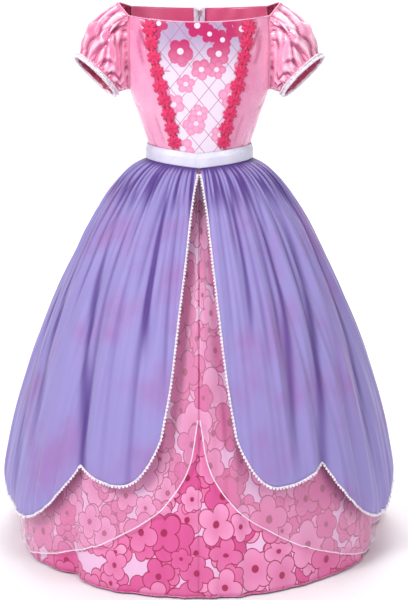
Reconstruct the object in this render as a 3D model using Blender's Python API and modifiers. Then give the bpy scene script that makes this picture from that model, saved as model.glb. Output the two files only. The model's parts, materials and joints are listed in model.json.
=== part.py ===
"""Princess costume dress for a child, worn form with no wearer, built from its sewn pieces.

Metres, +Z up, the front faces -Y. The origin is midway between the two shoulder tops, where the
dress hangs on its wearer. An azimuth is measured in plan from the front, positive towards +X.
"""

from math import atan2, cos, degrees, exp, hypot, pi, radians, sin
from typing import NamedTuple

import bmesh
import bpy
from mathutils import Matrix, Vector

# Driving heights
NECK_FRONT = -0.0287
NECK_FRONT_CORNER = -0.020
NECK_BACK = -0.010
NECK_BACK_CORNER = -0.006
UNDERARM = -0.1395
WAIST = -0.2447
WAIST_POINT_DROP = 0.0105
HEM = -0.920

# Cloth and seams
SATIN = 0.0015
CHIFFON = 0.0013
ORGANZA = 0.0010
PRINT = 0.0013
RIBBON = 0.0015
SEAM_GAP = 0.0004
CLEAR = 0.0009

# Bodice
ARMHOLE_X = 0.1145
ARMHOLE_SEAM = 0.0028
ARMHOLE_POWER = 4.0
BODICE_ROWS = 8
BODICE_CROWDING = 1.35
ZIP_SLOT = 0.0026

# Waist ribbon
RIBBON_HALF = 0.012
RIBBON_COLUMNS = 40
SKIRT_BULK = 0.0034

# Skirt
RATIO_SETTLES = 0.35
SHEER_UNDER_OVER = 0.0185
PRINT_UNDER_OVER = 0.0250
LAYERS_PART_BY = 0.11
LAYER_ROOM = 0.0035
GATHER_DEPTH = 0.0042
FOLDS_GROW_BELOW = 0.80

# Sleeve
SHOULDER_X = 0.1360
SHOULDER_Z = 0.0015
SHOULDER_ARCH = 0.135
CUFF_CENTRE = Vector((0.1740, -0.0120, -0.1195))
CUFF_OUTWARD = Vector((0.68, -0.24, -0.69)).normalized()
CUFF_RADIUS = 0.0445
CUFF_LENGTH = 0.006
SLEEVE_COLUMNS = 28
SLEEVE_ROWS = 5
SLEEVE_GATHER = 0.0045
ARCH_ROUNDNESS = 1.7
ARMHOLE_ROUNDNESS = 0.45
LEAVING_OUT = 0.90
LEAVING_FORWARD = 0.62
LEAVING_UP = 0.42
REACH_TOP = 0.36
REACH_SIDE = 0.52
CUFF_FLARE = 0.9
ARMHOLE_MIDDLE = Vector((0.118, 0.0, -0.070))

# Trims
CUFF_TRIM_WIDTH = 0.009
CUFF_TRIM_THICK = 0.0020
CUFF_TRIM_PAST = 0.0035
EDGE_TRIM_WIDTH = 0.0042
EDGE_TRIM_THICK = 0.0018
FLOWERS = 9
FLOWER_PETALS = 6
PETAL_HALF_TIP = radians(14.0)
FLOWER_TOP = -0.0262
FLOWER_PITCH = 0.02335
FLOWER_RIM = 0.0014
FLOWER_CENTRE = 0.0026
PETAL_NOTCH = 0.68
WELD = 0.00002

# Zip
TAPE_HALF = 0.010
TAPE_SPLIT = 0.0011
TAPE_THICK = 0.0010
CHAIN_HALF = 0.0019
CHAIN_THICK = 0.0014
SLIDER_MIDDLE = -0.0178
SLIDER_HALF_LENGTH = 0.0043
SLIDER_HALF_WIDTH = 0.0034
SLIDER_NECK = 0.0018
TAB_LENGTH = 0.0230
TAB_HALF_WIDTH = 0.0025
TAB_HOLE_HALF = 0.0013
TAB_HOLE_LENGTH = 0.0045
TAB_THICK = 0.0007
TAB_OUT = 0.0021
TAB_BAR = 0.0008
TAB_BELOW_MIDDLE = 0.0008
TAB_TIP_STEPS = 8
PLATE_OUT = 0.0014
PLATE_SUNK = 0.0009
INNER_PLATE_THICK = 0.0011
INNER_PLATE_NARROWER = 0.0007
NECK_HALF_WIDTH = 0.0006
BRIDGE_HALF_WIDTH = 0.0007
BRIDGE_TOP = -0.0024
BRIDGE_LOW = 0.0026
BRIDGE_LEG = 0.0010
BRIDGE_THICK = 0.0009

PLUS_X, MINUS_X = 1, -1
# The wearer's left is +X
SIDES = ((PLUS_X, "left"), (MINUS_X, "right"))


class BodySection(NamedTuple):
    """One level of the bodice's outside: half width, half depths, and how square it is."""

    height: float
    half_width: float
    front: float
    back: float
    squareness: float


BODY = (
    BodySection(-0.285, 0.0855, 0.0705, 0.0690, 2.10),
    BodySection(-0.245, 0.0855, 0.0705, 0.0690, 2.15),
    BodySection(-0.228, 0.0885, 0.0735, 0.0715, 2.20),
    BodySection(-0.206, 0.0960, 0.0775, 0.0750, 2.25),
    BodySection(-0.175, 0.1058, 0.0815, 0.0795, 2.30),
    BodySection(-0.140, 0.1168, 0.0850, 0.0850, 2.45),
    BodySection(-0.090, 0.1200, 0.0845, 0.0870, 2.60),
    BodySection(-0.030, 0.1210, 0.0790, 0.0840, 2.80),
    BodySection(0.005, 0.1205, 0.0750, 0.0820, 2.80),
)


class SeamPoint(NamedTuple):
    """How far from the centre the seam under a flower trim is, at one height."""

    height: float
    from_centre: float


PRINCESS_SEAM = (
    SeamPoint(-0.262, 0.0365),
    SeamPoint(-0.224, 0.0405),
    SeamPoint(-0.179, 0.0497),
    SeamPoint(-0.142, 0.0600),
    SeamPoint(-0.086, 0.0725),
    SeamPoint(-0.018, 0.0835),
)


class SkirtLevel(NamedTuple):
    """Half width and half depth of the overskirt's outside at a distance below the waist seam."""

    drop: float
    half_width: float
    half_depth: float


SKIRT = (
    SkirtLevel(0.000, 0.0889, 0.0739),
    SkirtLevel(0.0128, 0.0890, 0.0740),
    SkirtLevel(0.0185, 0.0990, 0.0822),
    SkirtLevel(0.028, 0.1135, 0.0955),
    SkirtLevel(0.042, 0.1285, 0.1100),
    SkirtLevel(0.068, 0.1500, 0.1320),
    SkirtLevel(0.118, 0.1845, 0.1680),
    SkirtLevel(0.178, 0.2165, 0.2010),
    SkirtLevel(0.241, 0.2465, 0.2320),
    SkirtLevel(0.349, 0.2900, 0.2740),
    SkirtLevel(0.494, 0.3310, 0.3170),
    SkirtLevel(0.574, 0.3420, 0.3340),
    SkirtLevel(0.620, 0.3410, 0.3420),
    SkirtLevel(0.676, 0.3370, 0.3470),
)

# Distances below the waist seam of the rows of points that all skirt layers share
UPPER_ROWS = (0.0, 0.0125, 0.020, 0.034, 0.062)
# Shares of the way from the last of them to the layer's lower edge
LOWER_ROWS = (0.086, 0.215, 0.380, 0.570, 0.780, 1.0)


class Fold(NamedTuple):
    """One trough: azimuth under the waist and at the hem, the shares of the drop between which
    it runs, its depth, and the half width of its trough in degrees."""

    at_waist: float
    at_hem: float
    starts: float
    ends: float
    depth: float
    spread: float


FOLDS = (
    Fold(-26, -14, 0.02, 0.52, 0.0135, 3.6),
    Fold(-56, -36, 0.03, 1.30, 0.0135, 4.2),
    Fold(-78, -60, 0.05, 0.85, 0.0120, 4.5),
    Fold(-93, -70, 0.05, 1.20, 0.0110, 5.0),
    Fold(-101, -92, 0.10, 1.40, 0.0130, 5.0),
    Fold(-118, -113, 0.06, 1.00, 0.0090, 5.5),
    Fold(-136, -136, 0.04, 1.40, 0.0130, 5.0),
    Fold(-152, -158, 0.05, 0.90, 0.0090, 5.0),
    Fold(-168, -172, 0.04, 1.00, 0.0080, 4.5),
    Fold(180, 180, 0.10, 1.30, 0.0110, 5.0),
    Fold(167, 165, 0.04, 1.10, 0.0090, 5.0),
    Fold(150, 152, 0.05, 0.80, 0.0080, 4.5),
    Fold(135, 136, 0.04, 1.40, 0.0130, 5.0),
    Fold(118, 119, 0.05, 1.00, 0.0090, 5.0),
    Fold(104, 101, 0.06, 1.40, 0.0130, 5.0),
    Fold(90, 78, 0.05, 1.10, 0.0080, 4.5),
    Fold(77, 62, 0.04, 0.90, 0.0130, 4.2),
    Fold(57, 39, 0.03, 1.30, 0.0120, 4.2),
    Fold(41, 29, 0.03, 0.85, 0.0125, 3.8),
    Fold(25, 15, 0.02, 0.48, 0.0120, 3.4),
)


class HemFold(NamedTuple):
    """A fold of the two long skirts that grows below the overskirt's edge, outwards or inwards."""

    azimuth: float
    out: float
    spread: float


HEM_FOLDS = (
    HemFold(-42, -0.012, 4.5),
    HemFold(-27, 0.006, 9.0),
    HemFold(-62, 0.007, 8.0),
    HemFold(-92, -0.012, 9.0),
    HemFold(-114, 0.026, 10.0),
    HemFold(-142, -0.010, 8.0),
    HemFold(170, 0.008, 10.0),
    HemFold(138, -0.010, 8.0),
    HemFold(102, 0.028, 10.0),
    HemFold(81, -0.020, 6.0),
    HemFold(55, 0.006, 9.0),
)


class EdgePoint(NamedTuple):
    """A turning point of a skirt's lower edge: azimuth from the front and height."""

    azimuth: float
    height: float


# The overskirt's scallops, from the front opening round to the centre back: corner, low, peak, low
SCALLOPS = {
    MINUS_X: (
        EdgePoint(11.6, -0.668), EdgePoint(24, -0.744), EdgePoint(38, -0.7245), EdgePoint(64, -0.840),
        EdgePoint(93, -0.815), EdgePoint(115, -0.893), EdgePoint(137, -0.848), EdgePoint(159, -0.902),
        EdgePoint(180, -0.862),
    ),
    PLUS_X: (
        EdgePoint(11.6, -0.668), EdgePoint(24, -0.746), EdgePoint(40, -0.7215), EdgePoint(65, -0.840),
        EdgePoint(101, -0.815), EdgePoint(120, -0.893), EdgePoint(139, -0.848), EdgePoint(160, -0.902),
        EdgePoint(180, -0.862),
    ),
}
SCALLOP_POWER = 2.3
SCALLOP_COLUMNS = (4, 4, 6, 6, 5, 5, 5, 5)

# The overskirt's front edge: azimuth it has opened to at each height
FRONT_EDGE = (
    EdgePoint(11.6, -0.668),
    EdgePoint(9.4, -0.576),
    EdgePoint(8.0, -0.478),
    EdgePoint(7.1, -0.409),
    EdgePoint(6.1, -0.349),
    EdgePoint(3.8, -0.296),
    EdgePoint(1.6, -0.2665),
    EdgePoint(0.5, -0.2500),
)

# The organza layer's lower edge sweeps down from the centre front to the sides
SHEER_EDGE = (
    EdgePoint(0.5, -0.640),
    EdgePoint(2.5, -0.700),
    EdgePoint(6.0, -0.740),
    EdgePoint(12.5, -0.783),
    EdgePoint(22.0, -0.820),
    EdgePoint(38.0, -0.868),
    EdgePoint(62.0, -0.906),
    EdgePoint(110.0, -0.911),
    EdgePoint(180.0, -0.911),
)
SHEER_FRONT = (0.35, 1.6, 3.6, 6.0, 9.0)
COLUMN_STEP = 6


class Paint(NamedTuple):
    """A finish: colour, roughness and metallic value."""

    name: str
    colour: tuple
    roughness: float
    metallic: float = 0.0


PINK_SATIN = Paint("pink_satin", (0.86, 0.36, 0.53), 0.35)
PANEL_SATIN = Paint("lattice_panel_satin", (0.86, 0.74, 0.84), 0.40)
LILAC_CHIFFON = Paint("lilac_chiffon", (0.36, 0.27, 0.62), 0.60)
CLEAR_ORGANZA = Paint("clear_organza", (0.86, 0.60, 0.78), 0.45)
FLOWER_PRINT = Paint("flower_print_satin", (0.76, 0.22, 0.48), 0.50)
WHITE_RIBBON = Paint("white_ribbon", (0.80, 0.79, 0.88), 0.40)
WHITE_TRIM = Paint("white_edging", (0.88, 0.86, 0.90), 0.55)
ROSE_LACE = Paint("rose_flower_lace", (0.72, 0.03, 0.15), 0.70)
WHITE_TAPE = Paint("white_zip_tape", (0.78, 0.76, 0.84), 0.65)
ZIP_METAL = Paint("zip_metal", (0.72, 0.72, 0.74), 0.30, 1.0)


def clear_scene():
    """Leaves an empty scene for the dress."""
    for found in list(bpy.data.objects):
        bpy.data.objects.remove(found, do_unlink=True)


def collection_named(name):
    """Makes a collection in the scene and returns it."""
    made = bpy.data.collections.new(name)
    bpy.context.scene.collection.children.link(made)
    return made


def material_of(paint):
    """The material for a finish, made the first time it is asked for."""
    known = bpy.data.materials.get(paint.name)
    if known:
        return known
    material = bpy.data.materials.new(paint.name)
    material.use_nodes = True
    shader = material.node_tree.nodes["Principled BSDF"]
    shader.inputs["Base Color"].default_value = (*paint.colour, 1.0)
    shader.inputs["Roughness"].default_value = paint.roughness
    shader.inputs["Metallic"].default_value = paint.metallic
    return material


def smooth(share):
    """0 to 1 with a soft start and end."""
    held = min(max(share, 0.0), 1.0)
    return held * held * (3.0 - 2.0 * held)


def mixed(low, high, share):
    """The value that lies a share of the way from low to high."""
    return low + (high - low) * share


def reading(table, at, key, value):
    """Reads a column of a table at a key, with a monotone cubic between rows."""
    rows = sorted(table, key=lambda row: getattr(row, key))
    keys = [getattr(row, key) for row in rows]
    values = [getattr(row, value) for row in rows]
    if at <= keys[0]:
        return values[0]
    if at >= keys[-1]:
        return values[-1]
    slopes = [(values[i + 1] - values[i]) / (keys[i + 1] - keys[i]) for i in range(len(rows) - 1)]
    tangents = [slopes[0]]
    for before, after in zip(slopes, slopes[1:]):
        tangents.append(2.0 * before * after / (before + after) if before * after > 0 else 0.0)
    tangents.append(slopes[-1])
    i = max(j for j in range(len(rows) - 1) if keys[j] <= at)
    width = keys[i + 1] - keys[i]
    s = (at - keys[i]) / width
    return (
        values[i] * (1 + 2 * s) * (1 - s) ** 2
        + tangents[i] * width * s * (1 - s) ** 2
        + values[i + 1] * s * s * (3 - 2 * s)
        + tangents[i + 1] * width * s * s * (s - 1)
    )


def turned(azimuth):
    """Unit direction in plan at an azimuth in degrees."""
    return Vector((sin(radians(azimuth)), -cos(radians(azimuth)), 0.0))


def apart(azimuth, other):
    """Degrees from one azimuth to another, the short way round."""
    return (azimuth - other + 180.0) % 360.0 - 180.0


def oval_radius(azimuth, half_width, half_depth, squareness):
    """Radius of a squared oval at an azimuth."""
    across = abs(sin(radians(azimuth))) / half_width
    deep = abs(cos(radians(azimuth))) / half_depth
    return (across**squareness + deep**squareness) ** (-1.0 / squareness)


def body_radius(azimuth, height):
    """Radius of the bodice's outside at an azimuth and height."""
    is_front = abs(apart(azimuth, 0.0)) <= 90.0
    return oval_radius(
        azimuth,
        reading(BODY, height, "height", "half_width"),
        reading(BODY, height, "height", "front" if is_front else "back"),
        reading(BODY, height, "height", "squareness"),
    )


def body_point(azimuth, height, out=0.0):
    """A point of the bodice's outside, moved out by a distance."""
    point = turned(azimuth) * (body_radius(azimuth, height) + out)
    point.z = height
    return point


def azimuth_at_x(x, height, back=False):
    """The azimuth where the bodice's outside is a distance x from the centre."""
    low, high = (90.0, 180.0) if back else (0.0, 90.0)
    for _ in range(40):
        middle = 0.5 * (low + high)
        too_far = body_point(middle, height).x > abs(x)
        if too_far != back:
            high = middle
        else:
            low = middle
    found = 0.5 * (low + high)
    return found if x >= 0 else -found


def waist_height(azimuth):
    """Height of the waist seam: level behind, a shallow point at the centre front."""
    if abs(apart(azimuth, 0.0)) >= 90.0:
        return WAIST
    reach = abs(body_point(azimuth, WAIST).x) / BODY[1].half_width
    return WAIST - WAIST_POINT_DROP * (1.0 - min(reach, 1.0))


def armhole_corner_y(back):
    """Depth in plan of the neckline corner where an armhole starts."""
    height = NECK_BACK_CORNER if back else NECK_FRONT_CORNER
    return body_point(azimuth_at_x(ARMHOLE_X, height, back), height).y


CORNER_Y = {False: armhole_corner_y(False), True: armhole_corner_y(True)}
CORNER_Z = {False: NECK_FRONT_CORNER, True: NECK_BACK_CORNER}


def armhole_height(y, grown=0.0):
    """Height of the U shaped armhole edge at a depth in plan; grown widens the U."""
    back = y > 0
    share = abs(y) / (abs(CORNER_Y[back]) + grown)
    return UNDERARM - grown + (CORNER_Z[back] - UNDERARM + grown) * min(share, 1.0) ** ARMHOLE_POWER


def grid_object(name, rows, thickness, paint, around=False):
    """Makes a cloth wall: an open surface through rows of points on its outside, then Solidify.

    Rows run down the garment and each row runs towards growing azimuth, so normals point out.
    """
    bm = bmesh.new()
    made = [[bm.verts.new(point) for point in row] for row in rows]
    for upper, lower in zip(made, made[1:]):
        pairs = list(zip(range(len(upper)), range(1, len(upper))))
        if around:
            pairs.append((len(upper) - 1, 0))
        for i, j in pairs:
            bm.faces.new((upper[i], lower[i], lower[j], upper[j]))
    mesh = bpy.data.meshes.new(name)
    bm.to_mesh(mesh)
    bm.free()
    mesh.shade_smooth()
    mesh.materials.append(material_of(paint))
    made_object = bpy.data.objects.new(name, mesh)
    dress.objects.link(made_object)
    wall = made_object.modifiers.new("wall", "SOLIDIFY")
    wall.thickness = thickness
    wall.offset = -1.0
    return made_object


def side_rows(rows, side):
    """Rows as they are for the +X side, or mirrored and turned round for the -X side."""
    if side == PLUS_X:
        return rows
    return [[Vector((-p.x, p.y, p.z)) for p in reversed(row)] for row in rows]


def panel_rows(left_edge, right_edge, columns):
    """Rows of a bodice panel between two edges, each an azimuth as a function of height.

    Columns are pairs of the share of the way across and the height of the top there.
    """
    rows = []
    for step in range(BODICE_ROWS + 1):
        down = 1.0 - (1.0 - step / BODICE_ROWS) ** BODICE_CROWDING
        row = []
        for across, top in columns:
            bottom_azimuth = mixed(left_edge(WAIST), right_edge(WAIST), across)
            bottom = waist_height(bottom_azimuth) + SEAM_GAP
            height = mixed(top, bottom, down)
            row.append(body_point(mixed(left_edge(height), right_edge(height), across), height))
        rows.append(row)
    return rows


def princess_azimuth(height):
    """Azimuth of the +X seam under the flower trim."""
    return azimuth_at_x(reading(PRINCESS_SEAM, height, "height", "from_centre"), height)


def half_gap(azimuth, height, distance=SEAM_GAP / 2):
    """A distance across the bodice as degrees of azimuth."""
    return degrees(distance / body_radius(azimuth, height))


def neckline(x, back=False):
    """Height of the neckline at a distance from the centre."""
    share = min(abs(x) / ARMHOLE_X, 1.0) ** 2
    ends = (NECK_BACK, NECK_BACK_CORNER) if back else (NECK_FRONT, NECK_FRONT_CORNER)
    return mixed(*ends, share)


def side_azimuth(y, height):
    """Azimuth of the bodice's +X side at a depth in plan."""
    azimuth = 90.0
    for _ in range(6):
        azimuth = degrees(atan2(body_radius(azimuth, height) * sin(radians(azimuth)), -y))
    return azimuth


def armhole_columns(left_edge, right_edge, back):
    """Columns of a panel along the armhole, from the underarm seam to the neckline corner."""
    columns = []
    for share in (0.0, 0.28, 0.52, 0.70, 0.83, 0.92, 0.972):
        y = share * CORNER_Y[back]
        height = armhole_height(y)
        left, right = left_edge(height), right_edge(height)
        across = (side_azimuth(y, height) - left) / (right - left)
        columns.append((min(max(across, 0.0), 1.0), height))
    return columns


def neck_columns(left_edge, right_edge, back, count):
    """Columns of a panel along the neckline, from the armhole corner inwards."""
    height = CORNER_Z[back]
    left, right = left_edge(height), right_edge(height)
    corner = (azimuth_at_x(ARMHOLE_X, height, back) - left) / (right - left)
    columns = []
    for i in range(count + 1):
        across = mixed(corner, 1.0 if back else 0.0, i / count)
        x = body_point(mixed(left, right, across), height).x
        columns.append((across, neckline(x, back)))
    return columns


def make_bodice():
    """The lattice front panel, two side fronts and two backs, with a gap at each seam."""

    def front_seam(height):
        return princess_azimuth(height) + half_gap(princess_azimuth(height), height)

    def front_side(height):
        return 90.0 - half_gap(90.0, height)

    def back_side(height):
        return 90.0 + half_gap(90.0, height)

    def back_slot(height):
        return 180.0 - half_gap(180.0, height, ZIP_SLOT)

    def panel_edge(height):
        return princess_azimuth(height) - half_gap(princess_azimuth(height), height)

    centre_columns = []
    for i in range(9):
        across = i / 8
        azimuth = mixed(-panel_edge(NECK_FRONT), panel_edge(NECK_FRONT), across)
        centre_columns.append((across, neckline(body_point(azimuth, NECK_FRONT).x)))
    centre_rows = panel_rows(lambda height: -panel_edge(height), panel_edge, centre_columns)
    grid_object("bodice_front_panel", centre_rows, SATIN, PANEL_SATIN)

    front_columns = neck_columns(front_seam, front_side, False, 3)[::-1]
    front_columns += armhole_columns(front_seam, front_side, False)[::-1]
    back_columns = armhole_columns(back_side, back_slot, True)
    back_columns += neck_columns(back_side, back_slot, True, 5)
    front_rows = panel_rows(front_seam, front_side, front_columns)
    back_rows = panel_rows(back_side, back_slot, back_columns)
    for side, word in SIDES:
        grid_object(f"bodice_side_front_{word}", side_rows(front_rows, side), SATIN, PINK_SATIN)
        grid_object(f"bodice_back_{word}", side_rows(back_rows, side), SATIN, PINK_SATIN)


def make_waist_ribbon():
    """The ribbon over the waist seam, pointed in front and split for the zip behind."""
    gap = half_gap(180.0, WAIST, ZIP_SLOT)
    rows = []
    for down in (-1.0, -0.25, 1.0):
        row = []
        for column in range(RIBBON_COLUMNS + 1):
            azimuth = mixed(-180.0 + gap, 180.0 - gap, column / RIBBON_COLUMNS)
            height = waist_height(azimuth) - down * RIBBON_HALF
            if down < -0.5:
                out = body_radius(azimuth, height) + CLEAR
            else:
                out = body_radius(azimuth, WAIST) + SKIRT_BULK + CLEAR
            point = turned(azimuth) * (out + RIBBON)
            point.z = height
            row.append(point)
        rows.append(row)
    grid_object("waist_ribbon", rows, RIBBON, WHITE_RIBBON)


def skirt_base(azimuth, share):
    """Radius and height of the smooth skirt shape at a share of the drop from waist to hem."""
    drop = share * (WAIST - HEM)
    width = reading(SKIRT, drop, "drop", "half_width")
    depth = reading(SKIRT, drop, "drop", "half_depth")
    at_waist = body_radius(azimuth, WAIST) + SKIRT_BULK
    near_waist = at_waist * width / SKIRT[0].half_width
    radius = mixed(near_waist, oval_radius(azimuth, width, depth, 2.0), smooth(share / RATIO_SETTLES))
    return radius, mixed(waist_height(azimuth), HEM, share)


def share_at(azimuth, height):
    """The share of the drop at a height."""
    top = waist_height(azimuth)
    return (top - height) / (top - HEM)


def sheer_inset(share):
    """Distance of the organza's outside inside the overskirt's outside."""
    return mixed(CHIFFON + SEAM_GAP, SHEER_UNDER_OVER, smooth(share / LAYERS_PART_BY))


def print_inset(share):
    """Distance of the printed underskirt's outside inside the overskirt's outside."""
    at_waist = CHIFFON + ORGANZA + 2 * SEAM_GAP
    return mixed(at_waist, PRINT_UNDER_OVER, smooth(share / LAYERS_PART_BY))


def fold_in(azimuth, share):
    """How far the large folds pull the overskirt in."""
    total = 0.0
    for fold in FOLDS:
        if fold.starts < share < fold.ends:
            way = (share - fold.starts) / (fold.ends - fold.starts)
            middle = mixed(fold.at_waist, fold.at_hem, smooth(share * 1.2))
            strength = smooth(way * 4.0) * smooth((1.0 - way) * 2.5)
            spread = fold.spread * mixed(0.9, 1.5, share)
            total += fold.depth * strength * exp(-((apart(azimuth, middle) / spread) ** 2))
    return total


def gather_in(share, which):
    """The inward step of every second column where the overskirt is gathered into the waist."""
    if which == 0 or which % 2:
        return 0.0
    strength = smooth((share - 0.010) / 0.04) * smooth((0.60 - share) / 0.45)
    return GATHER_DEPTH * (1.0 + 0.3 * sin(which * 2.4)) * strength


def swing_out(azimuth, share, grooves=True):
    """How far the lower skirts swing out, and in where grooves count, towards the hem."""
    grown = min(max((share - FOLDS_GROW_BELOW) / (1.0 - FOLDS_GROW_BELOW), 0.0), 1.0)
    return grown * sum(
        fold.out * exp(-((apart(azimuth, fold.azimuth) / fold.spread) ** 2))
        for fold in HEM_FOLDS
        if grooves or fold.out > 0
    )


def layer_point(azimuth, share, inset, moved_out):
    """A point of a skirt layer, an inset inside the overskirt's smooth shape, then moved out."""
    radius, height = skirt_base(azimuth, share)
    before, height_before = skirt_base(azimuth, max(share - 0.004, 0.0))
    after, height_after = skirt_base(azimuth, min(share + 0.004, 1.0))
    run, fall = after - before, height_before - height_after
    length = hypot(run, fall)
    point = turned(azimuth) * (radius - inset * fall / length + moved_out)
    point.z = height - inset * run / length if share < 0.9 else height
    return point


def over_point(azimuth, share, which=0):
    """A point of the overskirt's outside, with its folds, gathers and swing."""
    room = sheer_inset(share) - CHIFFON - LAYER_ROOM * smooth(share / LAYERS_PART_BY) - CLEAR
    pulled = min(fold_in(azimuth, share) + gather_in(share, which), max(room, 0.0))
    return layer_point(azimuth, share, 0.0, swing_out(azimuth, share, grooves=False) - pulled)


def column_heights(azimuth, end):
    """Heights of one column's points, from the waist seam to its lower end."""
    top = waist_height(azimuth)
    drops = [SEAM_GAP + drop for drop in UPPER_ROWS]
    drops += [mixed(drops[-1], top - end, share) for share in LOWER_ROWS]
    return [top - drop for drop in drops]


def scallop_height(side, azimuth):
    """Height of the overskirt's lower edge: cusps at the peaks, round at the low points."""
    edge = SCALLOPS[side]
    for start, end in zip(edge, edge[1:]):
        if azimuth <= end.azimuth:
            low, peak = (start, end) if start.height < end.height else (end, start)
            away = (azimuth - low.azimuth) / (peak.azimuth - low.azimuth)
            return mixed(low.height, peak.height, abs(away) ** SCALLOP_POWER)
    return edge[-1].height


def front_edge_azimuth(height):
    """Azimuth of the overskirt's front edge at a height."""
    return reading(FRONT_EDGE, height, "height", "azimuth")


def scallop_azimuths(side):
    """Azimuths at the lower edge of the overskirt's columns, with one on each turning point."""
    edge = SCALLOPS[side]
    azimuths = [edge[0].azimuth]
    for start, end, columns in zip(edge, edge[1:], SCALLOP_COLUMNS):
        azimuths += [mixed(start.azimuth, end.azimuth, i / columns) for i in range(1, columns + 1)]
    return azimuths


def seam_clearance(azimuth, share):
    """Half of a skirt seam's gap as degrees of azimuth."""
    return degrees(CLEAR / 2 / skirt_base(azimuth, share)[0])


def overskirt_rows(side):
    """Rows of one half of the overskirt, each from the front edge to the centre back."""
    azimuths = scallop_azimuths(side)
    front, behind = azimuths[0], azimuths[-1]
    columns = []
    for which, bottom_azimuth in enumerate(azimuths):
        across = (bottom_azimuth - front) / (behind - front)
        end = scallop_height(side, bottom_azimuth)
        column = []
        for height in column_heights(mixed(0.5, behind, across), end):
            azimuth = mixed(front_edge_azimuth(height), behind, across)
            share = max(share_at(azimuth, height), 0.0)
            azimuth -= seam_clearance(azimuth, share) if bottom_azimuth == behind else 0.0
            column.append(over_point(side * azimuth, share, which))
        columns.append(column)
    return [list(row) for row in zip(*columns)]


def facing(rows, side):
    """Rows that run from the front to the back, turned round on the -X side."""
    return rows if side == PLUS_X else [row[::-1] for row in rows]


def edging_rows(rows, side):
    """The two long edges of the edging, from the overskirt's own points, moved out of the cloth."""
    last = len(rows) - 1
    upper, lower = [], []
    path = [(row, 0) for row in range(2, last)] + [(last, column) for column in range(len(rows[0]))]
    for row, column in path:
        point = rows[row][column]
        down = rows[min(row + 1, last)][column] - rows[max(row - 1, 0)][column]
        ahead = rows[row][min(column + 1, len(rows[0]) - 1)] - rows[row][max(column - 1, 0)]
        normal = down.cross(ahead).normalized() * side
        inward = Vector((0.0, 0.0, 0.0))
        if column == 0:
            inward += (rows[row][1] - point).normalized() * EDGE_TRIM_WIDTH
        if row == last:
            inward += (rows[row - 1][column] - point).normalized() * EDGE_TRIM_WIDTH
        moved = normal * (CLEAR + EDGE_TRIM_THICK)
        upper.append(point + inward + moved)
        lower.append(point + moved)
    return [upper, lower]


def make_overskirt():
    """Two chiffon halves, open in front, gathered at the waist, with edging on their edges."""
    for side, word in SIDES:
        rows = overskirt_rows(side)
        grid_object(f"overskirt_{word}", facing(rows, side), CHIFFON, LILAC_CHIFFON)
        trim = facing(edging_rows(rows, side), side)
        grid_object(f"overskirt_edging_{word}", trim, EDGE_TRIM_THICK, WHITE_TRIM)


def long_rows(azimuths, side, inset, ends, seamed):
    """Rows of a long skirt layer over a list of azimuths, down to a height for each.

    Seamed gives, for the first and the last column, 1 or -1 to leave a seam's gap, or 0 for none.
    """
    columns = []
    for i, (azimuth, end) in enumerate(zip(azimuths, ends)):
        gap = seamed[0] if i == 0 else seamed[1] if i == len(azimuths) - 1 else 0
        column = []
        for height in column_heights(azimuth, end):
            share = share_at(azimuth, height)
            placed = side * (azimuth + gap * seam_clearance(azimuth, share))
            column.append(layer_point(placed, share, inset(share), swing_out(placed, share)))
        columns.append(column)
    return [list(row) for row in zip(*columns)]


def make_sheer_skirt():
    """Two organza halves between overskirt and underskirt, open in front, hems swept back."""
    azimuths = list(SHEER_FRONT) + [float(a) for a in range(12, 181, COLUMN_STEP)]
    ends = [reading(SHEER_EDGE, azimuth, "azimuth", "height") for azimuth in azimuths]
    for side, word in SIDES:
        rows = long_rows(azimuths, side, sheer_inset, ends, (0, -1))
        grid_object(f"sheer_skirt_{word}", facing(rows, side), ORGANZA, CLEAR_ORGANZA)


def make_underskirt():
    """Four printed gores, seamed at the centre front, the sides and the centre back."""
    for side, word in SIDES:
        for place, start in (("front", 0), ("back", 90)):
            azimuths = [float(a) for a in range(start, start + 91, COLUMN_STEP)]
            ends = [HEM] * len(azimuths)
            rows = long_rows(azimuths, side, print_inset, ends, (1, -1))
            grid_object(f"underskirt_{place}_{word}", facing(rows, side), PRINT, FLOWER_PRINT)


def armhole_ring(share):
    """A point of the edge where a +X sleeve starts, 0 at the shoulder top, then round by the front.

    The upper arch is the gathered neck edge; the rest lies on the bodice, outside the armhole.
    """
    back = share > 0.5
    nearest = 1.0 - share if back else share
    if nearest <= SHOULDER_ARCH:
        way = nearest / SHOULDER_ARCH
        corner_z = CORNER_Z[back]
        corner = body_point(azimuth_at_x(ARMHOLE_X, corner_z, back), corner_z, 2 * CLEAR)
        lift = 1.0 - way**ARCH_ROUNDNESS
        return Vector((
            mixed(corner.x, SHOULDER_X, lift),
            CORNER_Y[back] * way,
            mixed(corner.z, SHOULDER_Z, lift),
        ))
    angle = pi * (1.0 - (share - SHOULDER_ARCH) / (1.0 - 2.0 * SHOULDER_ARCH))
    back = cos(angle) > 0
    y = (abs(CORNER_Y[back]) + ARMHOLE_SEAM) * abs(cos(angle)) ** ARMHOLE_ROUNDNESS * (1 if back else -1)
    height = armhole_height(y, ARMHOLE_SEAM)
    point = body_point(side_azimuth(y, height), height, CLEAR)
    return Vector((point.x, y, height))


def cuff_frame():
    """Unit directions across the cuff: towards the shoulder and towards the front."""
    top = Vector((0.7, 0.0, 0.7))
    top = (top - CUFF_OUTWARD * top.dot(CUFF_OUTWARD)).normalized()
    front = top.cross(CUFF_OUTWARD)
    return top, front if front.y < 0 else -front


def cuff_ring(share, along, out=0.0):
    """A point round the +X cuff, at a distance along the sleeve past its end, and its spoke."""
    top, front = cuff_frame()
    angle = 2.0 * pi * share
    spoke = top * cos(angle) + front * sin(angle)
    return CUFF_CENTRE + CUFF_OUTWARD * along + spoke * (CUFF_RADIUS + out), spoke


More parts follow.
